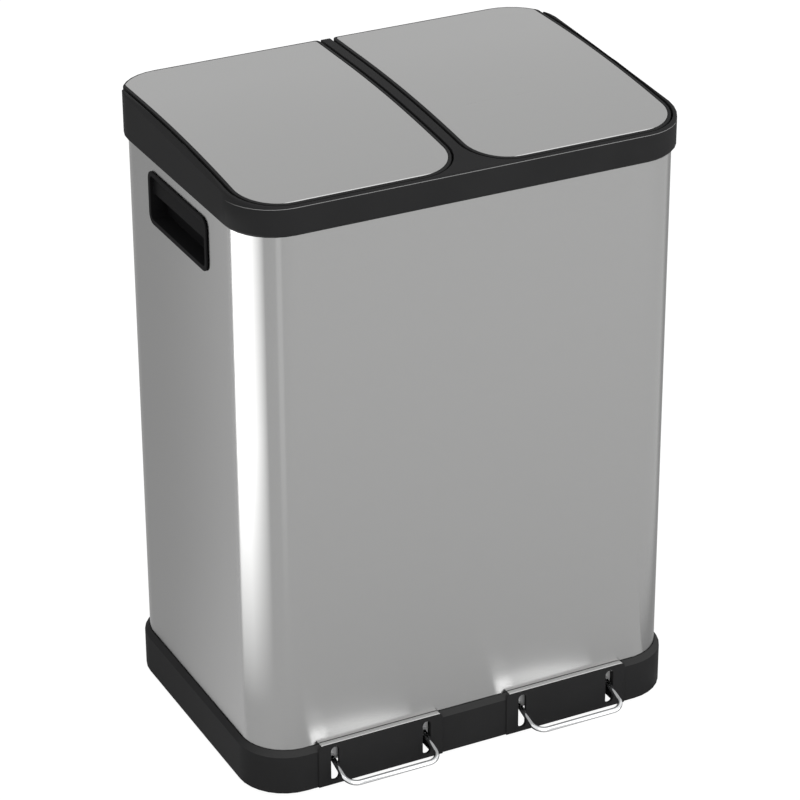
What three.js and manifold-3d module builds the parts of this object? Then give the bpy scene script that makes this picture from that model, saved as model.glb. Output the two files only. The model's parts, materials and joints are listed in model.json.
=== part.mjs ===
// Double recycling bin: a stainless body on a black plinth, with two pedals, two lids and two buckets.
//
// Millimetres. X is the width (right is +X), Y the depth (the front is -Y), Z is up and the floor is Z = 0.
// Pieces are drawn about the middle of the body. The last lines move the whole bin along Y, so that
// its origin is the middle of the floor area that the body and the pedals cover together.

import * as THREE from 'three';
import { mergeVertices } from 'three/addons/utils/BufferGeometryUtils.js';
import Module from 'manifold-3d';

const wasm = await Module();
wasm.setup();

// ---------------------------------------------------------------- driving sizes

const SEAT_GAP = 0.3; // between two pieces that touch
const OVERRUN = 100; // of cuts and layers, beyond the pieces that they shape
const BORE_OVERRUN = 1; // of a short bore, beyond the face that it opens
const LEAST_CORNER = 1; // radius that a rounded corner keeps when its outline shrinks
const WELD_DISTANCE = 1e-4; // points this close are one point
const CORNER_STEPS = 8; // flats in a large rounded corner
const SMALL_CORNER_STEPS = 4;
const LARGE_CORNER = 15; // corners of a larger radius than this are large
const ROUND_STEPS = 16; // flats round a rod, a hole or a foot
const TROUGH_STEPS = 28;
const SCREW_STEPS = 12;
const WIRE_SIDES = 8;
const WIRE_STEPS = 56; // along a pedal's wire
const QUARTER_CIRCLE_PULL = 0.5523; // of a cubic curve's handles, as a share of the radius
const RIGHT = 1;
const LEFT = -1;

// Stainless body
const BODY_WIDTH = 470;
const BODY_DEPTH = 322;
const BODY_CORNER = 48;
const BODY_SHOWN_HEIGHT = 558.6; // between the plinth and the collar
const SHEET = 0.8;

// Plinth and floor pan
const FOOT_PROUD = 4;
const PLINTH_HEIGHT = 48;
const PLINTH_PROUD = 5;
const PLINTH_CORNER = 51;
const PLINTH_WALL = 2.6;
const PLINTH_CHAMFER = 6;
const PLINTH_LIP = 0.8;
const LEDGE_WIDTH = 7; // carries the body sheet and the floor pan
const LEDGE_THICKNESS = 2.7;
const BODY_TUCK = 8; // of the body sheet, down inside the plinth
const FLOOR_THICKNESS = 2.5;
const FLOOR_RIB_DEPTH = 3.5;
const FLOOR_RIB_WIDTH = 2.5;
const FOOT_RADIUS = 12;
const FOOT_STEM_RADIUS = 3;
const FOOT_INSET = 34; // from the plinth's faces to the middle of a foot
const FOOT_WEB_THICKNESS = 3;
const FOOT_WEB_HEIGHT = 4; // of the web's underside above the plinth's edge
const FOOT_STEM_RISE = 3; // of the stem above the web
const FOOT_EDGE = 1; // bevel at a foot's bottom and at the top of its stem

// Top collar
const COLLAR_PROUD = 4.4;
const COLLAR_CORNER = 52;
const COLLAR_CHAMFER = 3.5;
const COLLAR_LIP = 0.8;
const COLLAR_REAR_HEIGHT = 48.6; // from the collar's foot to the crest of its arch
const ARCH_RADIUS = 1965; // the top falls towards the front on this radius
const ARCH_LEVEL_DEPTH = 67.4; // of the level part at the rear
const ARCH_STEPS = 15; // flats in the arch, over a depth that clears every piece
const RIM_BEVEL = 1.4; // on the collar's front and side top edges
const RIM_OVERRUN = 13; // carries that bevel on past the arch, which then cuts it off
const SIDE_RAIL = 4.6;
const FRONT_RAIL = 3.2;
const CENTRE_BAR = 10;
const DECK_DROP = 12; // of the deck that the lids close on, below the arch
const DECK_THICKNESS = 2.5;
const MOUTH_INNER_MARGIN = 7; // from the centre bar to the mouth
const MOUTH_OUTER_MARGIN = 20;
const MOUTH_FRONT_MARGIN = 10;
const MOUTH_REAR_MARGIN = 10.5; // in front of the push rod's guide
const MOUTH_CORNER = 28;
const MOUTH_LIP_WALL = 2;
const MOUTH_LIP_DEPTH = 6;

// Lids
const SIDE_GROOVE = 2.8;
const FRONT_GROOVE = 1.4;
const REAR_INSET = 0.5; // of the lids' rear edge from the collar's
const LID_THICKNESS = 9.5;
const LID_WALL = 2.4;
const LID_WEB = 1.9; // of the sheet that the steel skin lies on
const LID_CORNER = 45;
const LID_REAR_CORNER = 5;
const SKIN_THICKNESS = 0.8;
const SKIN_RIM = 3.1; // black rim shown around the skin
const SKIN_REAR_RIM = 1.4;
const BUMPER_RADIUS = 4;
const BUMPER_SPACING = 110;

// Lid hinges
const LID_OPEN_DEGREES = 78;
const HINGE_FROM_REAR = 13.4; // from the collar's rear face to the hinge line
const HINGE_DROP = 9; // of the hinge line below the crest of the arch
const HINGE_ROD_RADIUS = 2.5;
const KNUCKLE_RADIUS = 5.5;
const KNUCKLE_WIDTH = 8;
const KNUCKLE_SPACING = 148; // between the middles of a lid's two knuckles
const EAR_WIDTH = 6;
const EAR_CLEARANCE = 1;
const EAR_STEM_FRONT = 6;
const EAR_STEM_REAR = 0.8;
const HINGE_ROD_OVERHANG = 4; // beyond each ear
const TROUGH_RADIUS = 17; // the space that the lids' rear edge swings in
const TROUGH_WALL = 2.5;
const LIFT_ARM_LENGTH = 22.7; // from the hinge line to the push rod
const LIFT_ARM_WIDTH = 8;
const LIFT_NOSE_RADIUS = 3;

// Pedals
const PEDAL_FROM_SIDE = 128.5; // from the body's side to the middle of a pedal
const PEDAL_WIDTH = 103; // between the middles of its two legs
const PEDAL_WIRE_RADIUS = 2.75;
const PEDAL_BEND = 13;
const PEDAL_REACH = 31.2; // of the bar in front of the panel
const PEDAL_BAR_HEIGHT = 20.2;
const PEDAL_LEG_HEIGHT = 32; // of the legs inside the plinth
const PEDAL_LEG_LENGTH = 30; // of the level part of the legs
const PANEL_PROUD = 1.5;
const PANEL_MARGIN = 18.3; // beside the slots
const PANEL_RISE = 0.7; // above the top of the plinth
const PANEL_CORNER = 5.5;
const SLOT_WIDTH = 8.8;
const SLOT_HEIGHT = 39.5;
const SLOT_FOOT = 4; // of the slots above the plinth's edge
const SLOT_RECESS_MARGIN = 10; // of the ledge's notch beside the slots

// Pedal levers
const PIVOT_BACK = 68.8; // from the panel's face to the pivot
const PIVOT_HEIGHT = 30;
const AXLE_RADIUS = 3;
const AXLE_HEAD_RADIUS = 5;
const AXLE_HEAD_THICKNESS = 2;
const EYE_RADIUS = 7;
const LEVER_PLATE = 2;
const LEVER_ARM_WIDTH = 24;
const LEVER_ARM_DEPTH = 7;
const LEVER_FLANGE_BACK = 9.5; // from the panel's face to the flange
const LEVER_FLANGE_THICKNESS = 1.5;
const LEVER_FLANGE_FOOT = 27;
const LEVER_FLANGE_TOP = 42;
const LEVER_TABLE_DEPTH = 38;
const LEVER_MARGIN = 6; // of the table beside the legs
const LEVER_BEND_Y = 15; // of the arm's bend behind the pivot
const LEVER_TAIL_TOP = 11;
const LEVER_TAIL = 9; // of the arm behind the push rod
const BRACKET_THICKNESS = 2.5;
const BRACKET_CLEARANCE = 0.5;
const BRACKET_LENGTH = 28;
const BRACKET_FOOT = 17;
const SCREW_SHANK_RADIUS = 1.9;
const SCREW_HEAD_RADIUS = 3.8;
const SCREW_HEAD_THICKNESS = 2.2;

// Push rods and their dampers
const PUSH_ROD_FROM_HINGE = 20.5; // in front of the hinge line
const PUSH_ROD_RADIUS = 3;
const PUSH_PAD_RADIUS = 4.5;
const PUSH_PAD_THICKNESS = 3;
const PUSH_PAD_CLEARANCE = 0.8; // under the lift arm's nose
const BUSH_RADIUS = 6;
const BUSH_FLANGE_RADIUS = 9;
const BUSH_FLANGE_THICKNESS = 1.5;
const BUSH_LENGTH = 6;
const SLIDE_CLEARANCE = 0.4;
const GUIDE_SLOT_HALF_WIDTH = 7;
const GUIDE_SLOT_FRONT = 9; // of the guide slot in front of the push rod
const GUIDE_SLOT_REAR = 14.5;
const GUIDE_WALL = 2.5;
const GUIDE_DEPTH = 36.7; // from the deck's underside to the foot of the guide
const GUIDE_FOOT_THICKNESS = 3;
const DAMPER_OFFSET = 20; // from the push rod, towards the outside
const DAMPER_RADIUS = 8;
const DAMPER_WALL = 2;
const DAMPER_LENGTH = 90;
const DAMPER_ROD_RADIUS = 2;
const DAMPER_PISTON_THICKNESS = 5;
const DAMPER_PISTON_DEPTH = 25; // of the piston inside the body at rest
const DAMPER_LINK_THICKNESS = 3;
const DAMPER_LINK_DROP = 58; // of the link below the damper's body
const DAMPER_LINK_MARGIN = 4;

// Carrying handles
const HANDLE_LENGTH = 139.4;
const HANDLE_HEIGHT = 56.1;
const HANDLE_CORNER = 10;
const HANDLE_Y = 2.5;
const HANDLE_DROP = 40; // of the handle's middle below the collar
const HANDLE_BEZEL_THICKNESS = 1.6;
const HANDLE_BEZEL_OVERLAP = 3.2;
const HANDLE_WALL = 2;
const HANDLE_DEPTH = 18;
const GRIP_HEIGHT = 20;
const GRIP_SETBACK = 2;
const GRIP_THICKNESS = 2.5;

// Lift-out buckets
const BUCKET_WALL = 2.2;
const BUCKET_LIP_GAP = 4.5; // between the bucket's rim and the foot of the mouth's lip
const BUCKET_MOUTH_GAP = 1.5; // round the rim, as the bucket is lifted out through the mouth
const BUCKET_RIM = 2.2; // of the rim around the wall
const BUCKET_RIM_HEIGHT = 4;
const BUCKET_TAPER = 7; // of each wall from top to bottom
const BUCKET_GRIP_WIDTH = 90;
const BUCKET_GRIP_HEIGHT = 22;
const BUCKET_GRIP_DROP = 26;

// ---------------------------------------------------------------- heights and places worked out from them

const PLINTH_FOOT_Z = FOOT_PROUD;
const PLINTH_TOP_Z = PLINTH_FOOT_Z + PLINTH_HEIGHT;
const BODY_FOOT_Z = PLINTH_TOP_Z - BODY_TUCK;
const FLOOR_TOP_Z = BODY_FOOT_Z + FLOOR_THICKNESS;
const COLLAR_FOOT_Z = PLINTH_TOP_Z + BODY_SHOWN_HEIGHT;
const CREST_Z = COLLAR_FOOT_Z + COLLAR_REAR_HEIGHT;
const TALL = CREST_Z + OVERRUN;
const LOW = -OVERRUN;

const BODY = { halfX: BODY_WIDTH / 2, halfY: BODY_DEPTH / 2, corner: BODY_CORNER };
const PLINTH = {
  halfX: BODY.halfX + PLINTH_PROUD,
  halfY: BODY.halfY + PLINTH_PROUD,
  corner: PLINTH_CORNER,
};
const COLLAR = {
  halfX: BODY.halfX + COLLAR_PROUD,
  halfY: BODY.halfY + COLLAR_PROUD,
  corner: COLLAR_CORNER,
};
const ARCH_CREST_Y = COLLAR.halfY - ARCH_LEVEL_DEPTH;
const PEDAL_X = BODY.halfX - PEDAL_FROM_SIDE;
const PANEL_FACE_Y = -PLINTH.halfY - PANEL_PROUD;
const LEG_X = PEDAL_WIDTH / 2;

const WELL = {
  inner: CENTRE_BAR / 2,
  outer: COLLAR.halfX - SIDE_RAIL,
  front: -COLLAR.halfY + FRONT_RAIL,
};
const LID = {
  inner: WELL.inner + SIDE_GROOVE,
  outer: WELL.outer - SIDE_GROOVE,
  front: WELL.front + FRONT_GROOVE,
  rear: COLLAR.halfY - REAR_INSET,
};
const LID_MIDDLE_X = (LID.inner + LID.outer) / 2;
const HINGE_Y = COLLAR.halfY - HINGE_FROM_REAR;
const HINGE_Z = CREST_Z - HINGE_DROP;
// Below level at rest, and as far above it when open
const LIFT_REST_ANGLE = THREE.MathUtils.degToRad(LID_OPEN_DEGREES / 2);
const NOSE_Y = HINGE_Y - LIFT_ARM_LENGTH * Math.cos(LIFT_REST_ANGLE);
const NOSE_Z = HINGE_Z - LIFT_ARM_LENGTH * Math.sin(LIFT_REST_ANGLE);
const PAD_TOP_Z = NOSE_Z - LIFT_NOSE_RADIUS - PUSH_PAD_CLEARANCE;
const PUSH_ROD_Y = HINGE_Y - PUSH_ROD_FROM_HINGE;
const GUIDE_FOOT_Z = CREST_Z - DECK_DROP - DECK_THICKNESS - GUIDE_DEPTH;
const GUIDE_FRONT_Y = PUSH_ROD_Y - GUIDE_SLOT_FRONT;
const GUIDE_REAR_Y = PUSH_ROD_Y + GUIDE_SLOT_REAR;
const PIVOT_Y = PANEL_FACE_Y + PIVOT_BACK;
const TAIL_Y = PUSH_ROD_Y + LEVER_TAIL;
const LEVER_BEND_AT = PIVOT_Y + LEVER_BEND_Y;
const LEVER_TABLE_TOP = PEDAL_LEG_HEIGHT + PEDAL_WIRE_RADIUS + SEAT_GAP + LEVER_PLATE;
const HANDLE_Z = COLLAR_FOOT_Z - HANDLE_DROP;

// ---------------------------------------------------------------- materials

function finish(color, roughness, metalness) {
  return new THREE.MeshStandardMaterial({ color, roughness, metalness });
}


const brushedSteel = finish(0xa6a6a5, 0.32, 1);
const blackPlastic = finish(0x2f2f30, 0.5, 0);
const handlePlastic = finish(0x222223, 0.45, 0);
const bucketPlastic = finish(0x3a3c3e, 0.55, 0);
const chrome = finish(0xe4e5e6, 0.08, 1);
const zincSteel = finish(0xb4b6b5, 0.4, 1);
const rubber = finish(0x1b1b1b, 0.8, 0);
const nylon = finish(0xd8d6cf, 0.5, 0);

// ---------------------------------------------------------------- solids

/** A closed geometry as a solid that can be joined and cut. */
function solid(geometry) {
  const bare = geometry.clone();
  bare.deleteAttribute('normal');
  bare.deleteAttribute('uv');
  const merged = mergeVertices(bare, WELD_DISTANCE);
  const vertProperties = new Float32Array(merged.attributes.position.array);
  const triVerts = new Uint32Array(merged.index.array);
  return new wasm.Manifold(new wasm.Mesh({ numProp: 3, vertProperties, triVerts }));
}

const join = (first, ...others) => others.reduce((sum, next) => sum.add(next), first);
const cut = (first, ...others) => others.reduce((rest, next) => rest.subtract(next), first);

/** The surface of a solid, as a geometry. */
function surfaceOf(shape) {
  const { vertProperties, triVerts } = shape.getMesh();
  const geometry = new THREE.BufferGeometry();
  geometry.setAttribute('position', new THREE.BufferAttribute(new Float32Array(vertProperties), 3));
  geometry.setIndex(new THREE.BufferAttribute(new Uint32Array(triVerts), 1));
  geometry.computeVertexNormals();
  return geometry;
}

/** The same surface seen in a mirror on the plane X = 0, with its faces still outwards. */
function mirrored(geometry) {
  const copy = geometry.clone().scale(-1, 1, 1);
  const index = copy.index.array;
  for (let i = 0; i < index.length; i += 3) [index[i], index[i + 1]] = [index[i + 1], index[i]];
  copy.computeVertexNormals();
  return copy;
}

/** Corner points of a rectangle with its own radius at each corner, anticlockwise from the low corner. */
function outline(x0, x1, y0, y1, radii, largeSteps = CORNER_STEPS) {
  const [lowLow, highLow, highHigh, lowHigh] = radii;
  const corners = [
    { x: x0 + lowLow, y: y0 + lowLow, r: lowLow, start: Math.PI },
    { x: x1 - highLow, y: y0 + highLow, r: highLow, start: 1.5 * Math.PI },
    { x: x1 - highHigh, y: y1 - highHigh, r: highHigh, start: 0 },
    { x: x0 + lowHigh, y: y1 - lowHigh, r: lowHigh, start: 0.5 * Math.PI },
  ];
  return corners.flatMap(({ x, y, r, start }) => {
    const curved = r > LARGE_CORNER ? largeSteps : SMALL_CORNER_STEPS;
    const steps = r > 0 ? curved : 0;
    return Array.from({ length: steps + 1 }, (_, i) => {
      const angle = start + (steps ? (i / steps) * 0.5 * Math.PI : 0);
      return new THREE.Vector2(x + r * Math.cos(angle), y + r * Math.sin(angle));
    });
  });
}

/** A rounded outline about the middle of the bin, grown by an offset. */
function around({ halfX, halfY, corner }, offset = 0) {
  const radius = corner + offset;
  return outline(-halfX - offset, halfX + offset, -halfY - offset, halfY + offset, Array(4).fill(radius));
}

function extruded(points, depth) {
  return new THREE.ExtrudeGeometry(new THREE.Shape(points), { depth, bevelEnabled: false });
}

/** An upright prism on a plan outline. */
function prism(points, z0, z1) {
  return solid(extruded(points, z1 - z0).translate(0, 0, z0));
}

/** A prism along X on an outline whose points are (y, z). */
function prismAlongX(points, x0, x1) {
  const geometry = extruded(points, x1 - x0);
  const toXYZ = new THREE.Matrix4().makeBasis(
    new THREE.Vector3(0, 1, 0),
    new THREE.Vector3(0, 0, 1),
    new THREE.Vector3(1, 0, 0),
  );
  return solid(geometry.applyMatrix4(toXYZ).translate(x0, 0, 0));
}

/** A prism along Y on an outline whose points are (x, z). */
function prismAlongY(points, y0, y1) {
  const geometry = extruded(points, y1 - y0);
  return solid(geometry.rotateX(Math.PI / 2).translate(0, y1, 0));
}

function block(x0, x1, y0, y1, z0, z1) {
  const geometry = new THREE.BoxGeometry(x1 - x0, y1 - y0, z1 - z0);
  return solid(geometry.translate((x0 + x1) / 2, (y0 + y1) / 2, (z0 + z1) / 2));
}

function cylinderZ(x, y, radius, z0, z1, sides = ROUND_STEPS) {
  const geometry = new THREE.CylinderGeometry(radius, radius, z1 - z0, sides);
  return solid(geometry.rotateX(Math.PI / 2).translate(x, y, (z0 + z1) / 2));
}

function cylinderX(y, z, radius, x0, x1, sides = ROUND_STEPS) {
  const geometry = new THREE.CylinderGeometry(radius, radius, x1 - x0, sides);
  return solid(geometry.rotateZ(Math.PI / 2).translate((x0 + x1) / 2, y, z));
}

/**
 * A solid through stacked outlines that have the same number of points, each { points, z }, where z is a
 * height or a function that gives the height over each point's y.
 */
function loft(sections) {
  const count = sections[0].points.length;
  const heightAt = (z, y) => (typeof z === 'function' ? z(y) : z);
  const positions = sections.flatMap(({ points, z }) => points.flatMap(({ x, y }) => [x, y, heightAt(z, y)]));
  const index = [];
  const top = (sections.length - 1) * count;
  for (let level = 0; level < sections.length - 1; level += 1) {
    for (let i = 0; i < count; i += 1) {
      const [a, b] = [level * count + i, level * count + ((i + 1) % count)];
      index.push(a, b, b + count, a, b + count, a + count);
    }
  }
  for (let i = 1; i < count - 1; i += 1) {
    index.push(0, i + 1, i, top, top + i, top + i + 1);
  }
  const geometry = new THREE.BufferGeometry();
  geometry.setAttribute('position', new THREE.Float32BufferAttribute(positions, 3));
  geometry.setIndex(index);
  return solid(geometry);
}

// ---------------------------------------------------------------- the arched top

/** Height of the arch over a line across the bin. */
function archZ(y) {
  const run = Math.max(0, ARCH_CREST_Y - y);
  return CREST_Z - ARCH_RADIUS + Math.sqrt(ARCH_RADIUS ** 2 - run ** 2);
}

/** Everything between two surfaces that follow the arch, each given by its height over it. */
function archLayer(low, high) {
  const reach = 2 * COLLAR.halfY;
  const front = -reach;
  const along = Array.from({ length: ARCH_STEPS + 1 }, (_, i) => {
    return front + ((ARCH_CREST_Y - front) * i) / ARCH_STEPS;
  });
  const stations = [...along, reach];
  const lower = stations.map((y) => new THREE.Vector2(y, archZ(y) + low));
  const upper = stations.map((y) => new THREE.Vector2(y, archZ(y) + high)).reverse();
  return prismAlongX([...lower, ...upper], -BODY_WIDTH, BODY_WIDTH);
}

const aboveArch = (drop) => archLayer(-drop, OVERRUN);
const belowArch = (drop) => archLayer(-OVERRUN, -drop);

/** Plan of the right lid, or of a pocket or skin that is smaller than it all round. */
function lidPlan(side, front, rear, rearInset) {
  const corner = LID_CORNER + side;
  const plan = outline(
    LID.inner - side,
    LID.outer + side,
    LID.front - front,
    LID.rear + rear,
    [corner, corner, 0, Math.max(LID_REAR_CORNER - rearInset, LEAST_CORNER)],
  );
  return prism(plan, COLLAR_FOOT_Z, TALL).intersect(prism(around(COLLAR, -rearInset), COLLAR_FOOT_Z, TALL));
}

// ---------------------------------------------------------------- body, plinth and floor pan

function outerShell() {
  const top = archZ(-BODY.halfY) - DECK_DROP - DECK_THICKNESS - SEAT_GAP;
  const tube = cut(
    prism(around(BODY), BODY_FOOT_Z, top),
    prism(around(BODY, -SHEET), LOW, TALL),
  );
  const cupHole = handleOutline(-HANDLE_BEZEL_OVERLAP + SEAT_GAP);
  return cut(tube, prismAlongX(cupHole, -BODY_WIDTH, BODY_WIDTH));
}

function slotHole(x) {
  const radius = SLOT_WIDTH / 2;
  const z0 = PLINTH_FOOT_Z + SLOT_FOOT;
  const points = outline(x - radius, x + radius, z0, z0 + SLOT_HEIGHT, Array(4).fill(radius));
  return prismAlongY(points, PANEL_FACE_Y - BORE_OVERRUN, -BODY.halfY);
}

/** The raised panel behind a pedal, with its top corners rounded. */
function pedalPanel(x) {
  const half = LEG_X + PANEL_MARGIN;
  const radii = [0, 0, PANEL_CORNER, PANEL_CORNER];
  const points = outline(x - half, x + half, PLINTH_FOOT_Z, PLINTH_TOP_Z + PANEL_RISE, radii);
  return prismAlongY(points, PANEL_FACE_Y, -BODY.halfY);
}

function basePlinth() {
  const lip = SEAT_GAP + PLINTH_LIP;
  const skirt = loft([
    { points: around(PLINTH), z: PLINTH_FOOT_Z },
    { points: around(PLINTH), z: PLINTH_TOP_Z - PLINTH_CHAMFER },
    { points: around(BODY, lip), z: PLINTH_TOP_Z },
  ]);
  const pedals = [-PEDAL_X, PEDAL_X];
  const ledgeTop = BODY_FOOT_Z - SEAT_GAP;
  const cavity = prism(around(PLINTH, -PLINTH_WALL), LOW, ledgeTop - LEDGE_THICKNESS);
  const floorOpening = prism(around(PLINTH, -PLINTH_WALL - LEDGE_WIDTH), LOW, TALL);
  const bodySeat = prism(around(BODY, SEAT_GAP), ledgeTop, TALL);
  const notchHalf = LEG_X + SLOT_RECESS_MARGIN;
  const notches = pedals.map((x) => {
    const [front, back] = [-PLINTH.halfY + PLINTH_WALL, -PLINTH.halfY + PLINTH_WALL + LEDGE_WIDTH + SEAT_GAP];
    return block(x - notchHalf, x + notchHalf, front, back, LOW, ledgeTop + SEAT_GAP);
  });
  const slots = pedals.flatMap((x) => [slotHole(x - LEG_X), slotHole(x + LEG_X)]);
  const ring = join(skirt, ...pedals.map(pedalPanel));
  const skirtRing = cut(ring, cavity, floorOpening, bodySeat, ...notches, ...slots);

  const webFoot = PLINTH_FOOT_Z + FOOT_WEB_HEIGHT;
  const webPlan = prism(around(PLINTH, -PLINTH_WALL / 2), webFoot, webFoot + FOOT_WEB_THICKNESS);
  const webs = feetPlaces().map(([x, y]) => {
    const reach = FOOT_INSET;
    const grip = FOOT_RADIUS + PLINTH_WALL;
    const [outX, inX] = [x + Math.sign(x) * reach, x - Math.sign(x) * grip];
    const [outY, inY] = [y + Math.sign(y) * reach, y - Math.sign(y) * grip];
    const corner = block(
      Math.min(outX, inX), Math.max(outX, inX), Math.min(outY, inY), Math.max(outY, inY), LOW, TALL,
    );
    return webPlan.intersect(corner);
  });
  const stemHoles = feetPlaces().map(([x, y]) => {
    return cylinderZ(x, y, FOOT_STEM_RADIUS + SEAT_GAP, LOW, BODY_FOOT_Z);
  });
  return cut(join(skirtRing, ...webs), ...stemHoles);
}

function feetPlaces() {
  const [x, y] = [PLINTH.halfX - FOOT_INSET, PLINTH.halfY - FOOT_INSET];
  return [[-x, -y], [x, -y], [-x, y], [x, y]];
}

/** A push-in foot about its own axis, standing on the floor. */
function foot() {
  const webFoot = PLINTH_FOOT_Z + FOOT_WEB_HEIGHT;
  const stemTop = webFoot + FOOT_WEB_THICKNESS + FOOT_STEM_RISE;
  const profile = [
    [0, 0],
    [FOOT_RADIUS - FOOT_EDGE, 0],
    [FOOT_RADIUS, FOOT_EDGE],
    [FOOT_RADIUS, webFoot - SEAT_GAP],
    [FOOT_STEM_RADIUS, webFoot - SEAT_GAP],
    [FOOT_STEM_RADIUS, stemTop - FOOT_EDGE],
    [FOOT_STEM_RADIUS - FOOT_EDGE, stemTop],
    [0, stemTop],
  ];
  const geometry = new THREE.LatheGeometry(profile.map(([r, z]) => new THREE.Vector2(r, z)), ROUND_STEPS);
  return solid(geometry.rotateX(Math.PI / 2));
}

function baseFloor() {
  const plan = around(BODY, -SHEET - SEAT_GAP);
  const plate = prism(plan, BODY_FOOT_Z, FLOOR_TOP_Z);
  const ribInset = -PLINTH_WALL - LEDGE_WIDTH - PLINTH_PROUD;
  const ribField = prism(around(BODY, ribInset), BODY_FOOT_Z - FLOOR_RIB_DEPTH, FLOOR_TOP_Z);
  const rib = FLOOR_RIB_WIDTH / 2;
  const ribs = [
    block(-rib, rib, -BODY.halfY, BODY.halfY, LOW, TALL),
    block(-BODY.halfX, BODY.halfX, -rib, rib, LOW, TALL),
  ].map((line) => line.intersect(ribField));
  const rodHoles = [-PEDAL_X, PEDAL_X].map((x) => {
    return cylinderZ(x, PUSH_ROD_Y, BUSH_RADIUS + SEAT_GAP, LOW, TALL);
  });
  const screwHoles = [-PEDAL_X, PEDAL_X].flatMap((x) => {
    return [-SCREW_X, SCREW_X].map((dx) => {
      return cylinderZ(x + dx, PIVOT_Y, SCREW_SHANK_RADIUS + SEAT_GAP, LOW, TALL, SCREW_STEPS);
    });
  });
  return cut(join(plate, ...ribs), ...rodHoles, ...screwHoles);
}

// ---------------------------------------------------------------- carrying handles

/** Outline of the handle in (y, z), grown by an offset. */
function handleOutline(offset) {
  const [halfLength, halfHeight] = [HANDLE_LENGTH / 2 + offset, HANDLE_HEIGHT / 2 + offset];
  const radius = Math.max(HANDLE_CORNER + offset, LEAST_CORNER);
  return outline(
    HANDLE_Y - halfLength, HANDLE_Y + halfLength, HANDLE_Z - halfHeight, HANDLE_Z + halfHeight,
    Array(4).fill(radius),
  );
}

/** The right handle: a bezel outside the body, and a cup behind it with a grip plate across its top. */
function handleCup() {
  const bezelBack = BODY.halfX + SEAT_GAP;
  const bezelFace = bezelBack + HANDLE_BEZEL_THICKNESS;
  const cupBack = BODY.halfX - HANDLE_DEPTH;
  const cupInset = -HANDLE_BEZEL_OVERLAP;
  const outside = join(
    prismAlongX(handleOutline(0), bezelBack, bezelFace),
    prismAlongX(handleOutline(cupInset), cupBack, bezelFace),
  );
  const pocket = prismAlongX(handleOutline(cupInset - HANDLE_WALL), cupBack + HANDLE_WALL, BODY_WIDTH);
  const gripFace = BODY.halfX - GRIP_SETBACK;
  const gripTop = HANDLE_Z + HANDLE_HEIGHT / 2 - HANDLE_BEZEL_OVERLAP;
  const gripFoot = gripTop - HANDLE_WALL - GRIP_HEIGHT;
  const gripBand = block(gripFace - GRIP_THICKNESS, gripFace, -BODY_DEPTH, BODY_DEPTH, gripFoot, gripTop);
  const grip = gripBand.intersect(prismAlongX(handleOutline(cupInset - HANDLE_WALL / 2), cupBack, bezelFace));
  return join(cut(outside, pocket), grip);
}

// ---------------------------------------------------------------- top collar

const MOUTH = {
  inner: WELL.inner + MOUTH_INNER_MARGIN,
  outer: WELL.outer - MOUTH_OUTER_MARGIN,
  front: WELL.front + MOUTH_FRONT_MARGIN,
  rear: GUIDE_FRONT_Y - MOUTH_REAR_MARGIN,
};

function mouthPrism(offset) {
  const radius = MOUTH_CORNER + offset;
  const points = outline(
    MOUTH.inner - offset, MOUTH.outer + offset, MOUTH.front - offset, MOUTH.rear + offset,
    Array(4).fill(radius),
  );
  return prism(points, COLLAR_FOOT_Z, TALL);
}

/** Runs a right-hand solid's maker for both sides, the left one as its mirror image. */
function onBothSides(rightSolid) {
  return [rightSolid, solid(mirrored(surfaceOf(rightSolid)))];
}

/** The stations along X of a lid's knuckles and of the collar's ears beside them, as [low, high] pairs. */
function hingeStations() {
  const half = KNUCKLE_SPACING / 2;
  const knuckles = [-half, half].map((dx) => [
    LID_MIDDLE_X + dx - KNUCKLE_WIDTH / 2,
    LID_MIDDLE_X + dx + KNUCKLE_WIDTH / 2,
  ]);
  const ears = [
    [knuckles[0][0] - EAR_CLEARANCE - EAR_WIDTH, knuckles[0][0] - EAR_CLEARANCE],
    [knuckles[1][1] + EAR_CLEARANCE, knuckles[1][1] + EAR_CLEARANCE + EAR_WIDTH],
  ];
  return { knuckles, ears };
}

/** Ears that hold the right lid's hinge rod. */
function hingeEars() {
  return hingeStations().ears.map(([x0, x1]) => {
    const stemFoot = HINGE_Z - TROUGH_RADIUS - TROUGH_WALL / 2;
    return join(
      cylinderX(HINGE_Y, HINGE_Z, KNUCKLE_RADIUS, x0, x1),
      block(x0, x1, HINGE_Y - EAR_STEM_FRONT, HINGE_Y + EAR_STEM_REAR, stemFoot, HINGE_Z),
    );
  });
}

/** The right push rod's upper guide: two cheeks under the deck and a foot plate that carries the damper. */
function rodGuide() {
  const [innerX, outerX] = [PEDAL_X - GUIDE_SLOT_HALF_WIDTH, PEDAL_X + GUIDE_SLOT_HALF_WIDTH];
  const top = archZ(PUSH_ROD_Y) - DECK_DROP - DECK_THICKNESS / 2;
  const cheeks = [[innerX - GUIDE_WALL, innerX], [outerX, outerX + GUIDE_WALL]].map(([x0, x1]) => {
    return block(x0, x1, GUIDE_FRONT_Y, GUIDE_REAR_Y, GUIDE_FOOT_Z, top);
  });
  const plateEnd = PEDAL_X + DAMPER_OFFSET + DAMPER_RADIUS;
  const plate = block(
    innerX - GUIDE_WALL, plateEnd, GUIDE_FRONT_Y, GUIDE_REAR_Y,
    GUIDE_FOOT_Z, GUIDE_FOOT_Z + GUIDE_FOOT_THICKNESS,
  );
  return join(plate, ...cheeks);
}

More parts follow.
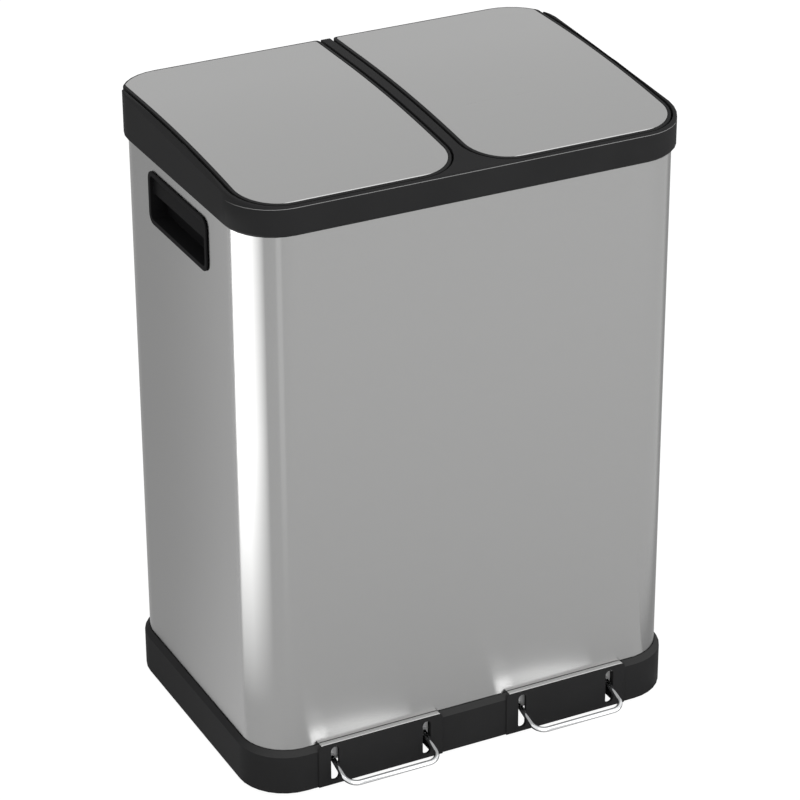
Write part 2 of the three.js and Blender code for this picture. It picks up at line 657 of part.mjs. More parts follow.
/** The collar's outside, with its foot chamfer and its arched, bevelled top. */
function collarBlank() {
  const lip = SEAT_GAP + COLLAR_LIP;
  const sides = loft([
    { points: around(BODY, lip), z: COLLAR_FOOT_Z },
    { points: around(COLLAR), z: COLLAR_FOOT_Z + COLLAR_CHAMFER },
    { points: around(COLLAR), z: (y) => archZ(y) - RIM_BEVEL },
    { points: around(COLLAR, -RIM_BEVEL - RIM_OVERRUN), z: (y) => archZ(y) + RIM_OVERRUN },
  ]);
  return sides.intersect(belowArch(0));
}

function topCollar() {
  const underDeck = prism(around(BODY, SEAT_GAP), LOW, TALL).intersect(belowArch(DECK_DROP + DECK_THICKNESS));
  const swing = join(
    cylinderX(HINGE_Y, HINGE_Z, TROUGH_RADIUS, WELL.inner, WELL.outer, TROUGH_STEPS),
    block(WELL.inner, WELL.outer, HINGE_Y, BODY_DEPTH, HINGE_Z, TALL),
  );
  const troughWall = cylinderX(HINGE_Y, HINGE_Z, TROUGH_RADIUS + TROUGH_WALL, 0, BODY_WIDTH, TROUGH_STEPS)
    .intersect(prism(around(COLLAR), LOW, TALL))
    .intersect(belowArch(DECK_DROP + DECK_THICKNESS / 2));
  const wellCorner = LID_CORNER + SIDE_GROOVE;
  const wellOutline = outline(WELL.inner, WELL.outer, WELL.front, BODY_DEPTH, [wellCorner, wellCorner, 0, 0]);
  const well = prism(wellOutline, COLLAR_FOOT_Z, TALL).intersect(aboveArch(DECK_DROP));
  const mouth = mouthPrism(0);
  const mouthLip = cut(mouthPrism(MOUTH_LIP_WALL), mouth).intersect(
    archLayer(-DECK_DROP - DECK_THICKNESS - MOUTH_LIP_DEPTH, -DECK_DROP - DECK_THICKNESS / 2),
  );
  const guideSlot = block(
    PEDAL_X - GUIDE_SLOT_HALF_WIDTH, PEDAL_X + GUIDE_SLOT_HALF_WIDTH, GUIDE_FRONT_Y, GUIDE_REAR_Y,
    GUIDE_FOOT_Z + GUIDE_FOOT_THICKNESS, TALL,
  );
  const rodHole = cylinderZ(PEDAL_X, PUSH_ROD_Y, PUSH_ROD_RADIUS + SLIDE_CLEARANCE, LOW, TALL);
  const hingeHole = cylinderX(HINGE_Y, HINGE_Z, HINGE_ROD_RADIUS + SEAT_GAP, LID.inner, LID.outer);

  let collar = cut(collarBlank(), underDeck);
  for (const wall of onBothSides(join(troughWall, mouthLip))) collar = collar.add(wall);
  for (const space of onBothSides(join(swing, well, mouth))) collar = collar.subtract(space);
  for (const part of onBothSides(join(rodGuide(), ...hingeEars()))) collar = collar.add(part);
  for (const space of onBothSides(join(guideSlot, rodHole, hingeHole))) collar = collar.subtract(space);
  return collar;
}

// ---------------------------------------------------------------- lids

/** The right lid's moulding: a shallow tray turned over, with its knuckles and lift arm underneath. */
function lidFrame() {
  const skinSeat = SKIN_THICKNESS + SEAT_GAP;
  const tray = lidPlan(0, 0, 0, REAR_INSET).intersect(archLayer(-LID_THICKNESS, 0));
  const skinPocket = lidPlan(-SKIN_RIM, -SKIN_RIM, -SKIN_REAR_RIM, REAR_INSET + SKIN_REAR_RIM)
    .intersect(aboveArch(skinSeat));
  const underside = lidPlan(-LID_WALL, -LID_WALL, -LID_WALL, REAR_INSET + LID_WALL)
    .intersect(belowArch(skinSeat + LID_WEB));
  const webTop = HINGE_Z + HINGE_DROP - skinSeat - LID_WEB / 2;
  const hub = (x0, x1) => join(
    cylinderX(HINGE_Y, HINGE_Z, KNUCKLE_RADIUS, x0, x1),
    block(x0, x1, HINGE_Y - KNUCKLE_RADIUS, HINGE_Y + KNUCKLE_RADIUS, HINGE_Z, webTop),
  );
  const knuckles = hingeStations().knuckles.map(([x0, x1]) => hub(x0, x1));
  const [armX0, armX1] = [PEDAL_X - LIFT_ARM_WIDTH / 2, PEDAL_X + LIFT_ARM_WIDTH / 2];
  const armBar = prismAlongX(taperedBar(), armX0, armX1);
  const nose = cylinderX(NOSE_Y, NOSE_Z, LIFT_NOSE_RADIUS, armX0, armX1);
  const bore = cylinderX(HINGE_Y, HINGE_Z, HINGE_ROD_RADIUS + SEAT_GAP, 0, BODY_WIDTH);
  return cut(join(cut(tray, skinPocket, underside), ...knuckles, hub(armX0, armX1), armBar, nose), bore);
}

/** The lift arm's corners in (y, z). Its underside ends at the nose's middle, so the nose stands out. */
function taperedBar() {
  const hub = new THREE.Vector2(HINGE_Y, HINGE_Z);
  const nose = new THREE.Vector2(NOSE_Y, NOSE_Z);
  const upward = nose.clone().sub(hub).normalize().rotateAround(new THREE.Vector2(), -Math.PI / 2);
  return [
    hub.clone().addScaledVector(upward, KNUCKLE_RADIUS),
    hub.clone().addScaledVector(upward, -KNUCKLE_RADIUS),
    nose,
    nose.clone().addScaledVector(upward, LIFT_NOSE_RADIUS),
  ];
}

/** The right lid's steel skin, flush in the moulding's pocket. */
function lidSkin() {
  const inset = SKIN_RIM + SEAT_GAP;
  const rearInset = REAR_INSET + SKIN_REAR_RIM + SEAT_GAP;
  const skinPlan = lidPlan(-inset, -inset, -SKIN_REAR_RIM - SEAT_GAP, rearInset);
  return skinPlan.intersect(archLayer(-SKIN_THICKNESS, 0));
}

function hingeRod() {
  const { ears } = hingeStations();
  return cylinderX(
    HINGE_Y, HINGE_Z, HINGE_ROD_RADIUS, ears[0][0] - HINGE_ROD_OVERHANG, ears[1][1] + HINGE_ROD_OVERHANG,
  );
}

/** A rubber pad on the deck, under the lid's front edge, at one of its two places across the right lid. */
function lidBumper(x) {
  const y = LID.front + BUMPER_RADIUS;
  const pad = cylinderZ(x, y, BUMPER_RADIUS, COLLAR_FOOT_Z, TALL);
  return pad.intersect(archLayer(-DECK_DROP + SEAT_GAP, -LID_THICKNESS - SEAT_GAP));
}

// ---------------------------------------------------------------- pedals, about the middle of one pedal

/** The bent wire: two level legs inside the plinth, two that fall through the slots, and the bar across. */
function pedalWire() {
  const bar = new THREE.Vector3(LEG_X, PANEL_FACE_Y - PEDAL_REACH, PEDAL_BAR_HEIGHT);
  const flangeY = PANEL_FACE_Y + LEVER_FLANGE_BACK;
  const knee = new THREE.Vector3(LEG_X, flangeY - PEDAL_WIRE_RADIUS, PEDAL_LEG_HEIGHT);
  const end = knee.clone().setY(flangeY + PEDAL_LEG_LENGTH);
  const fall = bar.clone().sub(knee).normalize();
  const level = new THREE.Vector3(0, -1, 0);
  const kneeIn = knee.clone().addScaledVector(level, -PEDAL_WIRE_RADIUS);
  const kneeOut = knee.clone().addScaledVector(fall, PEDAL_WIRE_RADIUS);
  const bendIn = bar.clone().addScaledVector(fall, -PEDAL_BEND);
  const bendOut = bar.clone().setX(LEG_X - PEDAL_BEND);
  const pull = QUARTER_CIRCLE_PULL * PEDAL_BEND;
  const flip = (point) => point.clone().setX(-point.x);
  const path = new THREE.CurvePath();
  path.add(new THREE.LineCurve3(end, kneeIn));
  path.add(new THREE.QuadraticBezierCurve3(kneeIn, knee, kneeOut));
  path.add(new THREE.LineCurve3(kneeOut, bendIn));
  const bendInPull = bendIn.clone().addScaledVector(fall, pull);
  const bendOutPull = bendOut.clone().setX(bendOut.x + pull);
  path.add(new THREE.CubicBezierCurve3(bendIn, bendInPull, bendOutPull, bendOut));
  path.add(new THREE.LineCurve3(bendOut, flip(bendOut)));
  path.add(new THREE.CubicBezierCurve3(flip(bendOut), flip(bendOutPull), flip(bendInPull), flip(bendIn)));
  path.add(new THREE.LineCurve3(flip(bendIn), flip(kneeOut)));
  path.add(new THREE.QuadraticBezierCurve3(flip(kneeOut), flip(knee), flip(kneeIn)));
  path.add(new THREE.LineCurve3(flip(kneeIn), flip(end)));

  const section = Array.from({ length: WIRE_SIDES }, (_, i) => {
    const angle = (i / WIRE_SIDES) * 2 * Math.PI;
    return new THREE.Vector2(PEDAL_WIRE_RADIUS * Math.cos(angle), PEDAL_WIRE_RADIUS * Math.sin(angle));
  });
  return solid(new THREE.ExtrudeGeometry(new THREE.Shape(section), { steps: WIRE_STEPS, extrudePath: path }));
}

/** Height of the top of a lever's arm behind its bend. */
function leverTopZ(y) {
  return THREE.MathUtils.mapLinear(y, LEVER_BEND_AT, TAIL_Y, LEVER_TABLE_TOP, LEVER_TAIL_TOP);
}

/** The pressed lever: a flange behind the slots, a table over the wire's legs and a channel to the rod. */
function pedalLever() {
  const half = LEG_X + LEVER_MARGIN;
  const arm = LEVER_ARM_WIDTH / 2;
  const flangeY = PANEL_FACE_Y + LEVER_FLANGE_BACK;
  const tableTop = LEVER_TABLE_TOP;
  const tableBack = flangeY + LEVER_TABLE_DEPTH;
  const flangeBack = flangeY + LEVER_FLANGE_THICKNESS;
  const flange = block(-half, half, flangeY, flangeBack, LEVER_FLANGE_FOOT, LEVER_FLANGE_TOP);
  const table = block(-half, half, flangeY, tableBack, tableTop - LEVER_PLATE, tableTop);
  const legHoles = [-LEG_X, LEG_X].map((x) => {
    const radius = PEDAL_WIRE_RADIUS + SEAT_GAP;
    const points = outline(
      x - radius, x + radius, PEDAL_LEG_HEIGHT - radius, PEDAL_LEG_HEIGHT + radius, Array(4).fill(radius),
    );
    return prismAlongY(points, flangeY - BORE_OVERRUN, flangeBack + BORE_OVERRUN);
  });
  const bendY = LEVER_BEND_AT;
  const side = [
    [tableBack - LEVER_PLATE, tableTop],
    [tableBack - LEVER_PLATE, tableTop - LEVER_ARM_DEPTH],
    [bendY, tableTop - LEVER_ARM_DEPTH],
    [TAIL_Y, LEVER_TAIL_TOP - LEVER_ARM_DEPTH],
    [TAIL_Y, LEVER_TAIL_TOP],
    [bendY, tableTop],
  ].map(([y, z]) => new THREE.Vector2(y, z));
  const hollow = side.map(({ x, y }) => new THREE.Vector2(x, y - LEVER_PLATE));
  const channelHollow = prismAlongX(hollow, -arm + LEVER_PLATE, arm - LEVER_PLATE);
  const channel = cut(prismAlongX(side, -arm, arm), channelHollow);
  const eye = cylinderX(PIVOT_Y, PIVOT_HEIGHT, EYE_RADIUS, -arm, arm);
  const bore = cylinderX(PIVOT_Y, PIVOT_HEIGHT, AXLE_RADIUS + SEAT_GAP, -half, half);
  return cut(join(cut(join(flange, table), ...legHoles), channel, eye), bore);
}

const BRACKET_X = LEVER_ARM_WIDTH / 2 + BRACKET_CLEARANCE; // the inner face of a bracket
const SCREW_X = BRACKET_X + BRACKET_THICKNESS + (BRACKET_FOOT - BRACKET_THICKNESS) / 2;

/** The bracket on one side of a lever: a cheek around the axle, and a foot under the floor pan. */
function pedalBracket(side) {
  const top = BODY_FOOT_Z - SEAT_GAP;
  const half = BRACKET_LENGTH / 2;
  const cheek = [
    [PIVOT_Y - half, top],
    [PIVOT_Y - EYE_RADIUS, PIVOT_HEIGHT],
    [PIVOT_Y - EYE_RADIUS / 2, PIVOT_HEIGHT - EYE_RADIUS],
    [PIVOT_Y + EYE_RADIUS / 2, PIVOT_HEIGHT - EYE_RADIUS],
    [PIVOT_Y + EYE_RADIUS, PIVOT_HEIGHT],
    [PIVOT_Y + half, top],
  ].map(([y, z]) => new THREE.Vector2(y, z));
  const spans = (near, far) => [Math.min(side * near, side * far), Math.max(side * near, side * far)];
  const [cheek0, cheek1] = spans(BRACKET_X, BRACKET_X + BRACKET_THICKNESS);
  const [foot0, foot1] = spans(BRACKET_X, BRACKET_X + BRACKET_FOOT);
  const bracket = join(
    prismAlongX(cheek, cheek0, cheek1),
    block(foot0, foot1, PIVOT_Y - half, PIVOT_Y + half, top - BRACKET_THICKNESS, top),
  );
  const axleHole = cylinderX(
    PIVOT_Y, PIVOT_HEIGHT, AXLE_RADIUS + SEAT_GAP, cheek0 - BORE_OVERRUN, cheek1 + BORE_OVERRUN,
  );
  const screwHole = cylinderZ(side * SCREW_X, PIVOT_Y, SCREW_SHANK_RADIUS + SEAT_GAP, LOW, TALL, SCREW_STEPS);
  return cut(bracket, axleHole, screwHole);
}

function bracketScrew(side) {
  const footUnderside = BODY_FOOT_Z - SEAT_GAP - BRACKET_THICKNESS;
  const headTop = footUnderside - SEAT_GAP;
  return join(
    cylinderZ(side * SCREW_X, PIVOT_Y, SCREW_HEAD_RADIUS, headTop - SCREW_HEAD_THICKNESS, headTop),
    cylinderZ(
      side * SCREW_X, PIVOT_Y, SCREW_SHANK_RADIUS, headTop - SCREW_HEAD_THICKNESS, FLOOR_TOP_Z, SCREW_STEPS,
    ),
  );
}

function pedalAxle() {
  const bracketFace = BRACKET_X + BRACKET_THICKNESS + SEAT_GAP;
  const end = bracketFace + AXLE_HEAD_THICKNESS;
  const head = (x0, x1) => cylinderX(PIVOT_Y, PIVOT_HEIGHT, AXLE_HEAD_RADIUS, x0, x1);
  return join(
    cylinderX(PIVOT_Y, PIVOT_HEIGHT, AXLE_RADIUS, -end, end),
    head(-end, -bracketFace),
    head(bracketFace, end),
  );
}

// ---------------------------------------------------------------- push rods and dampers, about one push rod

function pushRod() {
  const foot = leverTopZ(PUSH_ROD_Y - PUSH_ROD_RADIUS) + SEAT_GAP;
  return join(
    cylinderZ(0, PUSH_ROD_Y, PUSH_ROD_RADIUS, foot, PAD_TOP_Z),
    cylinderZ(0, PUSH_ROD_Y, PUSH_PAD_RADIUS, PAD_TOP_Z - PUSH_PAD_THICKNESS, PAD_TOP_Z),
  );
}

function rodBush() {
  const flangeFoot = FLOOR_TOP_Z + SEAT_GAP;
  const flangeTop = flangeFoot + BUSH_FLANGE_THICKNESS;
  const sleeve = join(
    cylinderZ(0, PUSH_ROD_Y, BUSH_RADIUS, flangeTop - BUSH_LENGTH, flangeTop),
    cylinderZ(0, PUSH_ROD_Y, BUSH_FLANGE_RADIUS, flangeFoot, flangeTop),
  );
  return cut(sleeve, cylinderZ(0, PUSH_ROD_Y, PUSH_ROD_RADIUS + SLIDE_CLEARANCE, LOW, TALL));
}

const DAMPER_TOP_Z = GUIDE_FOOT_Z - SEAT_GAP;
const DAMPER_FOOT_Z = DAMPER_TOP_Z - DAMPER_LENGTH;
const LINK_Z = DAMPER_FOOT_Z - DAMPER_LINK_DROP;

function damperBody(side) {
  const x = side * DAMPER_OFFSET;
  return cut(
    cylinderZ(x, PUSH_ROD_Y, DAMPER_RADIUS, DAMPER_FOOT_Z, DAMPER_TOP_Z),
    cylinderZ(
      x, PUSH_ROD_Y, DAMPER_RADIUS - DAMPER_WALL, DAMPER_FOOT_Z + DAMPER_WALL, DAMPER_TOP_Z - DAMPER_WALL,
    ),
    cylinderZ(x, PUSH_ROD_Y, DAMPER_ROD_RADIUS + SLIDE_CLEARANCE, LOW, DAMPER_FOOT_Z + 2 * DAMPER_WALL),
  );
}

function damperPiston(side) {
  const x = side * DAMPER_OFFSET;
  const pistonTop = DAMPER_FOOT_Z + DAMPER_PISTON_DEPTH;
  const pistonRadius = DAMPER_RADIUS - DAMPER_WALL - SLIDE_CLEARANCE;
  return join(
    cylinderZ(x, PUSH_ROD_Y, DAMPER_ROD_RADIUS, LINK_Z, pistonTop),
    cylinderZ(x, PUSH_ROD_Y, pistonRadius, pistonTop - DAMPER_PISTON_THICKNESS, pistonTop),
  );
}

/** The clip that carries the damper's piston on the push rod. */
function damperLink(side) {
  const outerEnd = DAMPER_OFFSET + DAMPER_ROD_RADIUS + DAMPER_LINK_MARGIN;
  const ends = [-PUSH_ROD_RADIUS - DAMPER_LINK_MARGIN, outerEnd];
  const [x0, x1] = ends.map((x) => side * x).sort((a, b) => a - b);
  const halfDepth = PUSH_ROD_RADIUS + DAMPER_LINK_MARGIN;
  const plan = outline(x0, x1, PUSH_ROD_Y - halfDepth, PUSH_ROD_Y + halfDepth, Array(4).fill(halfDepth / 2));
  return cut(
    prism(plan, LINK_Z, LINK_Z + DAMPER_LINK_THICKNESS),
    cylinderZ(0, PUSH_ROD_Y, PUSH_ROD_RADIUS + SEAT_GAP, LOW, TALL),
    cylinderZ(side * DAMPER_OFFSET, PUSH_ROD_Y, DAMPER_ROD_RADIUS + SEAT_GAP, LOW, TALL, SCREW_STEPS),
  );
}

// ---------------------------------------------------------------- buckets

/** The right bucket: tapered walls, a rolled rim, and a hand hole in its front and rear walls. */
function innerBucket() {
  const x0 = MOUTH.inner + BUCKET_MOUTH_GAP;
  const x1 = MOUTH.outer - BUCKET_MOUTH_GAP;
  const y0 = MOUTH.front + BUCKET_MOUTH_GAP;
  const y1 = MOUTH.rear - BUCKET_MOUTH_GAP;
  const rimCorner = MOUTH_CORNER - BUCKET_MOUTH_GAP;
  const bottom = FLOOR_TOP_Z + SEAT_GAP;
  const top = archZ(MOUTH.front) - DECK_DROP - DECK_THICKNESS - MOUTH_LIP_DEPTH - BUCKET_LIP_GAP;
  const ring = (inset) => {
    const radii = Array(4).fill(rimCorner - inset);
    return outline(x0 + inset, x1 - inset, y0 + inset, y1 - inset, radii, SMALL_CORNER_STEPS);
  };
  const outside = loft([
    { points: ring(BUCKET_RIM + BUCKET_TAPER), z: bottom },
    { points: ring(BUCKET_RIM), z: top },
  ]);
  const rim = prism(ring(0), top - BUCKET_RIM_HEIGHT, top);
  const inside = loft([
    { points: ring(BUCKET_RIM + BUCKET_TAPER + BUCKET_WALL), z: bottom + BUCKET_WALL },
    { points: ring(BUCKET_RIM + BUCKET_WALL), z: top + BORE_OVERRUN },
  ]);
  const [middleX, gripZ] = [(x0 + x1) / 2, top - BUCKET_GRIP_DROP];
  const [gripHalf, gripRadius] = [BUCKET_GRIP_WIDTH / 2, BUCKET_GRIP_HEIGHT / 2];
  const gripPoints = outline(
    middleX - gripHalf, middleX + gripHalf, gripZ - gripRadius, gripZ + gripRadius, Array(4).fill(gripRadius),
  );
  return cut(join(outside, rim), inside, prismAlongY(gripPoints, -BODY_DEPTH, BODY_DEPTH));
}

// ---------------------------------------------------------------- assembly

const bin = new THREE.Group();

function add(parent, name, shape, material, position = [0, 0, 0]) {
  const mesh = new THREE.Mesh(shape instanceof THREE.BufferGeometry ? shape : surfaceOf(shape), material);
  mesh.name = name;
  mesh.position.set(...position);
  parent.add(mesh);
}

/** Adds a right-hand piece and its mirror image. */
function addPair(parent, name, rightSolid, material) {
  const surface = surfaceOf(rightSolid);
  add(parent, `${name}_right`, surface, material);
  add(parent, `${name}_left`, mirrored(surface), material);
}

add(bin, 'outer_shell', outerShell(), brushedSteel);
add(bin, 'base_plinth', basePlinth(), blackPlastic);
add(bin, 'base_floor', baseFloor(), blackPlastic);
add(bin, 'top_collar', topCollar(), blackPlastic);

const footNames = ['front_left', 'front_right', 'rear_left', 'rear_right'];
feetPlaces().forEach(([x, y], i) => add(bin, `foot_${footNames[i]}`, foot(), rubber, [x, y, 0]));

addPair(bin, 'handle_cup', handleCup(), handlePlastic);
addPair(bin, 'inner_bucket', innerBucket(), bucketPlastic);
addPair(bin, 'lid_frame', lidFrame(), blackPlastic);
addPair(bin, 'lid_skin', lidSkin(), brushedSteel);
addPair(bin, 'lid_hinge_rod', hingeRod(), zincSteel);
addPair(bin, 'lid_bumper_inner', lidBumper(LID_MIDDLE_X - BUMPER_SPACING / 2), rubber);
addPair(bin, 'lid_bumper_outer', lidBumper(LID_MIDDLE_X + BUMPER_SPACING / 2), rubber);

for (const [side, hand] of [[RIGHT, 'right'], [LEFT, 'left']]) {
  const unit = new THREE.Group();
  unit.position.x = side * PEDAL_X;
  add(unit, `pedal_wire_${hand}`, pedalWire(), chrome);
  add(unit, `pedal_lever_${hand}`, pedalLever(), zincSteel);
  add(unit, `pedal_axle_${hand}`, pedalAxle(), zincSteel);
  for (const [place, name] of [[side, 'outer'], [-side, 'inner']]) {
    add(unit, `pedal_bracket_${name}_${hand}`, pedalBracket(place), zincSteel);
    add(unit, `bracket_screw_${name}_${hand}`, bracketScrew(place), zincSteel);
  }
  add(unit, `push_rod_${hand}`, pushRod(), zincSteel);
  add(unit, `push_rod_bush_${hand}`, rodBush(), nylon);
  add(unit, `damper_body_${hand}`, damperBody(side), blackPlastic);
  add(unit, `damper_piston_${hand}`, damperPiston(side), chrome);
  add(unit, `damper_link_${hand}`, damperLink(side), nylon);
  bin.add(unit);
}

const pedalFrontY = PANEL_FACE_Y - PEDAL_REACH - PEDAL_WIRE_RADIUS;
bin.position.y = -(pedalFrontY + PLINTH.halfY) / 2;

export default bin;
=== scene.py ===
"""A double recycling bin: brushed steel body, black mouldings, two lids, two wire pedals and two buckets.

All sizes are in metres. The bin stands on the floor at z = 0 and its front faces -y. Places are taken from the
frame's own boxes, and the sizes written here are the ones that a box can't tell, such as a corner's radius.
"""

from __future__ import annotations

import json
import logging
import math
from collections.abc import Iterable, Sequence
from dataclasses import dataclass, field, replace
from enum import Enum

import bmesh
import bpy
import numpy as np
from mathutils import Matrix, Vector

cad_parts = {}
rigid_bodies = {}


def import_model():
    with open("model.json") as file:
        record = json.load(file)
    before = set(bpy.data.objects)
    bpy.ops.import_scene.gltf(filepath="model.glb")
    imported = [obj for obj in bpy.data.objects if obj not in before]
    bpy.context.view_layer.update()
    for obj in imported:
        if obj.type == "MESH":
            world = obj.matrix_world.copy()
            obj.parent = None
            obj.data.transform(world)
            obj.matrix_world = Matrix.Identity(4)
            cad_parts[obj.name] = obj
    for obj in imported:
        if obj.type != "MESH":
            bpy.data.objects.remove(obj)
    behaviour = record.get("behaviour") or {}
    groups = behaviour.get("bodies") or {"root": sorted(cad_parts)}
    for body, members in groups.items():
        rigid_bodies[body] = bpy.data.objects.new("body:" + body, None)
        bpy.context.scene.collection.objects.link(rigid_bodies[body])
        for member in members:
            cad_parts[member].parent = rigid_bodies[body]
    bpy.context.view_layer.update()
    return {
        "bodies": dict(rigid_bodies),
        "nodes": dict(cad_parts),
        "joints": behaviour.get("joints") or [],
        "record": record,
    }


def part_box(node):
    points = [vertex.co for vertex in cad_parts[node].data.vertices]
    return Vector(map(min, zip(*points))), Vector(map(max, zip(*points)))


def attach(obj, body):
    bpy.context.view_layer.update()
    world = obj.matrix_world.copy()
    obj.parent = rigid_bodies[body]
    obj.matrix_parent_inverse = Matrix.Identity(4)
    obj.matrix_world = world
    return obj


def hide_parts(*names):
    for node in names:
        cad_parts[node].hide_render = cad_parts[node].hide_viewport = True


MM = 0.001
PANEL_MIDDLE = 106.5 * MM  # from the bin's middle to the middle of a pedal panel
ARCH_LEVEL_DEPTH = 67.4 * MM  # of the top's level part, from the collar's rear face
WELD_DISTANCE = 0.002 * MM  # points this close are one point
FLAT_ANGLE = 0.3  # degrees, under which two facets are one flat face
SHARP_ANGLE = 32.0  # degrees, over which an edge of a moulding is sharp
SHEET_SHARP_ANGLE = 50.0  # degrees, the same for sheet metal
STEEL_TINT = (1.0, 1.0, 0.994)  # red, green and blue of the steel, as shares of its tone
log = logging.getLogger("recycling_bin")
Sides = Sequence[tuple[str, int]]
BOTH_SIDES: Sides = (("left", -1), ("right", 1))


# ---------------------------------------------------------------- shader maths


class Signal:
    """A value that flows out of a shader socket, with the arithmetic operators that add Math nodes.

    Args:
        sheet: The shader sheet that the socket belongs to.
        socket: The socket that gives the value.
    """

    def __init__(self, sheet: ShaderSheet, socket: bpy.types.NodeSocket) -> None:
        """Keeps the sheet and the socket."""
        self.sheet = sheet
        self.socket = socket

    def _math(self, operation: str, first: Value, second: Value = 0.0) -> Signal:
        """Adds one Math node.

        Args:
            operation: The Math node's operation.
            first: Its first value.
            second: Its second value.

        Returns:
            The node's result.
        """
        node = self.sheet.add("ShaderNodeMath", {"operation": operation}, {0: first, 1: second})
        return Signal(self.sheet, node.outputs[0])

    def __add__(self, other: Value) -> Signal:
        """Returns self + other."""
        return self._math("ADD", self, other)

    def __radd__(self, other: Value) -> Signal:
        """Returns other + self."""
        return self._math("ADD", other, self)

    def __sub__(self, other: Value) -> Signal:
        """Returns self - other."""
        return self._math("SUBTRACT", self, other)

    def __rsub__(self, other: Value) -> Signal:
        """Returns other - self."""
        return self._math("SUBTRACT", other, self)

    def __mul__(self, other: Value) -> Signal:
        """Returns self * other."""
        return self._math("MULTIPLY", self, other)

    def __rmul__(self, other: Value) -> Signal:
        """Returns other * self."""
        return self._math("MULTIPLY", other, self)

    def larger(self, other: Value) -> Signal:
        """Returns the larger of self and other."""
        return self._math("MAXIMUM", self, other)

    def near(self, level: float, half: float) -> Signal:
        """Returns 1 where self is within half of level, and 0 elsewhere."""
        node = self.sheet.add("ShaderNodeMath", {"operation": "COMPARE"}, {0: self, 1: level, 2: half})
        return Signal(self.sheet, node.outputs[0])


Value = Signal | float | Sequence[float]


class ShaderSheet:
    """The node tree of one material, world or lamp, with short ways to add and feed its nodes.

    Args:
        owner: The material, world or lamp whose nodes are rebuilt.
    """

    def __init__(self, owner: bpy.types.Material | bpy.types.World | bpy.types.AreaLight) -> None:
        """Clears the owner's nodes."""
        owner.use_nodes = True
        self.tree = owner.node_tree
        self.tree.nodes.clear()

    def add(self, kind: str, settings: dict | None = None, inputs: dict | None = None) -> bpy.types.Node:
        """Adds one node, sets it, and then feeds its sockets.

        Args:
            kind: The node's type.
            settings: Its properties by name.
            inputs: Its sockets' values or links, by name or number.

        Returns:
            The node.
        """
        node = self.tree.nodes.new(kind)
        for name, value in (settings or {}).items():
            setattr(node, name, value)
        for name, value in (inputs or {}).items():
            self.feed(node.inputs[name], value)
        return node

    def feed(self, socket: bpy.types.NodeSocket, value: Value) -> None:
        """Links a signal to a socket, or sets the socket's own value."""
        if isinstance(value, Signal):
            self.tree.links.new(value.socket, socket)
        elif isinstance(value, bpy.types.NodeSocket):
            self.tree.links.new(value, socket)
        else:
            socket.default_value = value

    def noise(self, grain: Sequence[float], detail: float = 2.0) -> Signal:
        """Noise in the piece's own coordinates.

        Args:
            grain: The noise's cells per metre along x, y and z.
            detail: How many finer layers it has.

        Returns:
            A value from 0 to 1.
        """
        place = self.add("ShaderNodeTexCoord").outputs["Object"]
        mapped = self.add("ShaderNodeMapping", {}, {"Vector": place, "Scale": tuple(grain)}).outputs["Vector"]
        node = self.add("ShaderNodeTexNoise", {}, {"Vector": mapped, "Scale": 1.0, "Detail": detail})
        return Signal(self, node.outputs["Fac"])

    def blend(self, factor: Value, first: Value, second: Value) -> Signal:
        """Mixes two colours.

        Args:
            factor: 0 for the first colour, 1 for the second.
            first: A colour as red, green and blue, or a signal.
            second: The other colour.

        Returns:
            The mixed colour.
        """
        colours = [colour if isinstance(colour, Signal) else (*colour, 1.0) for colour in (first, second)]
        node = self.add("ShaderNodeMix", {"data_type": "RGBA"}, {0: factor, 6: colours[0], 7: colours[1]})
        return Signal(self, node.outputs[2])

    def ramp(
        self, value: Value, span: tuple[float, float], result: tuple[float, float] = (0.0, 1.0)
    ) -> Signal:
        """Carries a value over to another range in a straight line, and holds it at both ends.

        Args:
            value: The value.
            span: Where the line starts and ends.
            result: The outcome at its start and at its end.

        Returns:
            The outcome.
        """
        ends = {"From Min": span[0], "From Max": span[1], "To Min": result[0], "To Max": result[1]}
        return Signal(self, self.add("ShaderNodeMapRange", {}, {"Value": value, **ends}).outputs[0])

    def position(self, axis: Axis) -> Signal:
        """Returns the place along one axis, in the piece's own coordinates."""
        place = self.add("ShaderNodeTexCoord").outputs["Object"]
        return Signal(self, self.add("ShaderNodeSeparateXYZ", {}, {"Vector": place}).outputs[axis.value])

    def paint_highlight(self, edge: PaintedHighlight, colour: Signal) -> Signal:
        """Paints a highlight into a colour along an edge, in the band that the edge's axis and level give.

        It is full where the depth is past the second value of the edge's fade, and gone before its first.
        It also ends where the depth is more than the edge's depth limit away from the middle.

        Args:
            edge: The painted highlight.
            colour: The colour beside it.

        Returns:
            The colour with the painted highlight.
        """
        depth = self.position(Axis.DEPTH)
        band = self.position(edge.axis).near(edge.level, edge.half_width)
        band = band * self.ramp(depth, edge.fade) * depth.near(0.0, edge.depth_limit)
        return self.blend(band, colour, (edge.tone,) * 3)

    def bump(self, height: Signal, depth: float, strength: float = 1.0) -> Signal:
        """Turns a height into a normal.

        Args:
            height: The height, from 0 to 1.
            depth: What 1 stands for, in metres.
            strength: The share of the effect.

        Returns:
            The normal.
        """
        inputs = {"Height": height, "Distance": depth, "Strength": strength}
        return Signal(self, self.add("ShaderNodeBump", {}, inputs).outputs["Normal"])

    def seen(self, plainly: float, mirrored: float) -> Signal:
        """A share for the rays that show the surroundings.

        Args:
            plainly: The share for a ray to the camera or through glass.
            mirrored: The share for a reflection.

        Returns:
            The share, which is 0 for all other rays.
        """
        rays = self.add("ShaderNodeLightPath").outputs
        direct = Signal(self, rays["Is Camera Ray"]).larger(Signal(self, rays["Is Transmission Ray"]))
        return (direct * plainly).larger(Signal(self, rays["Is Glossy Ray"]) * mirrored)


# ---------------------------------------------------------------- finishes


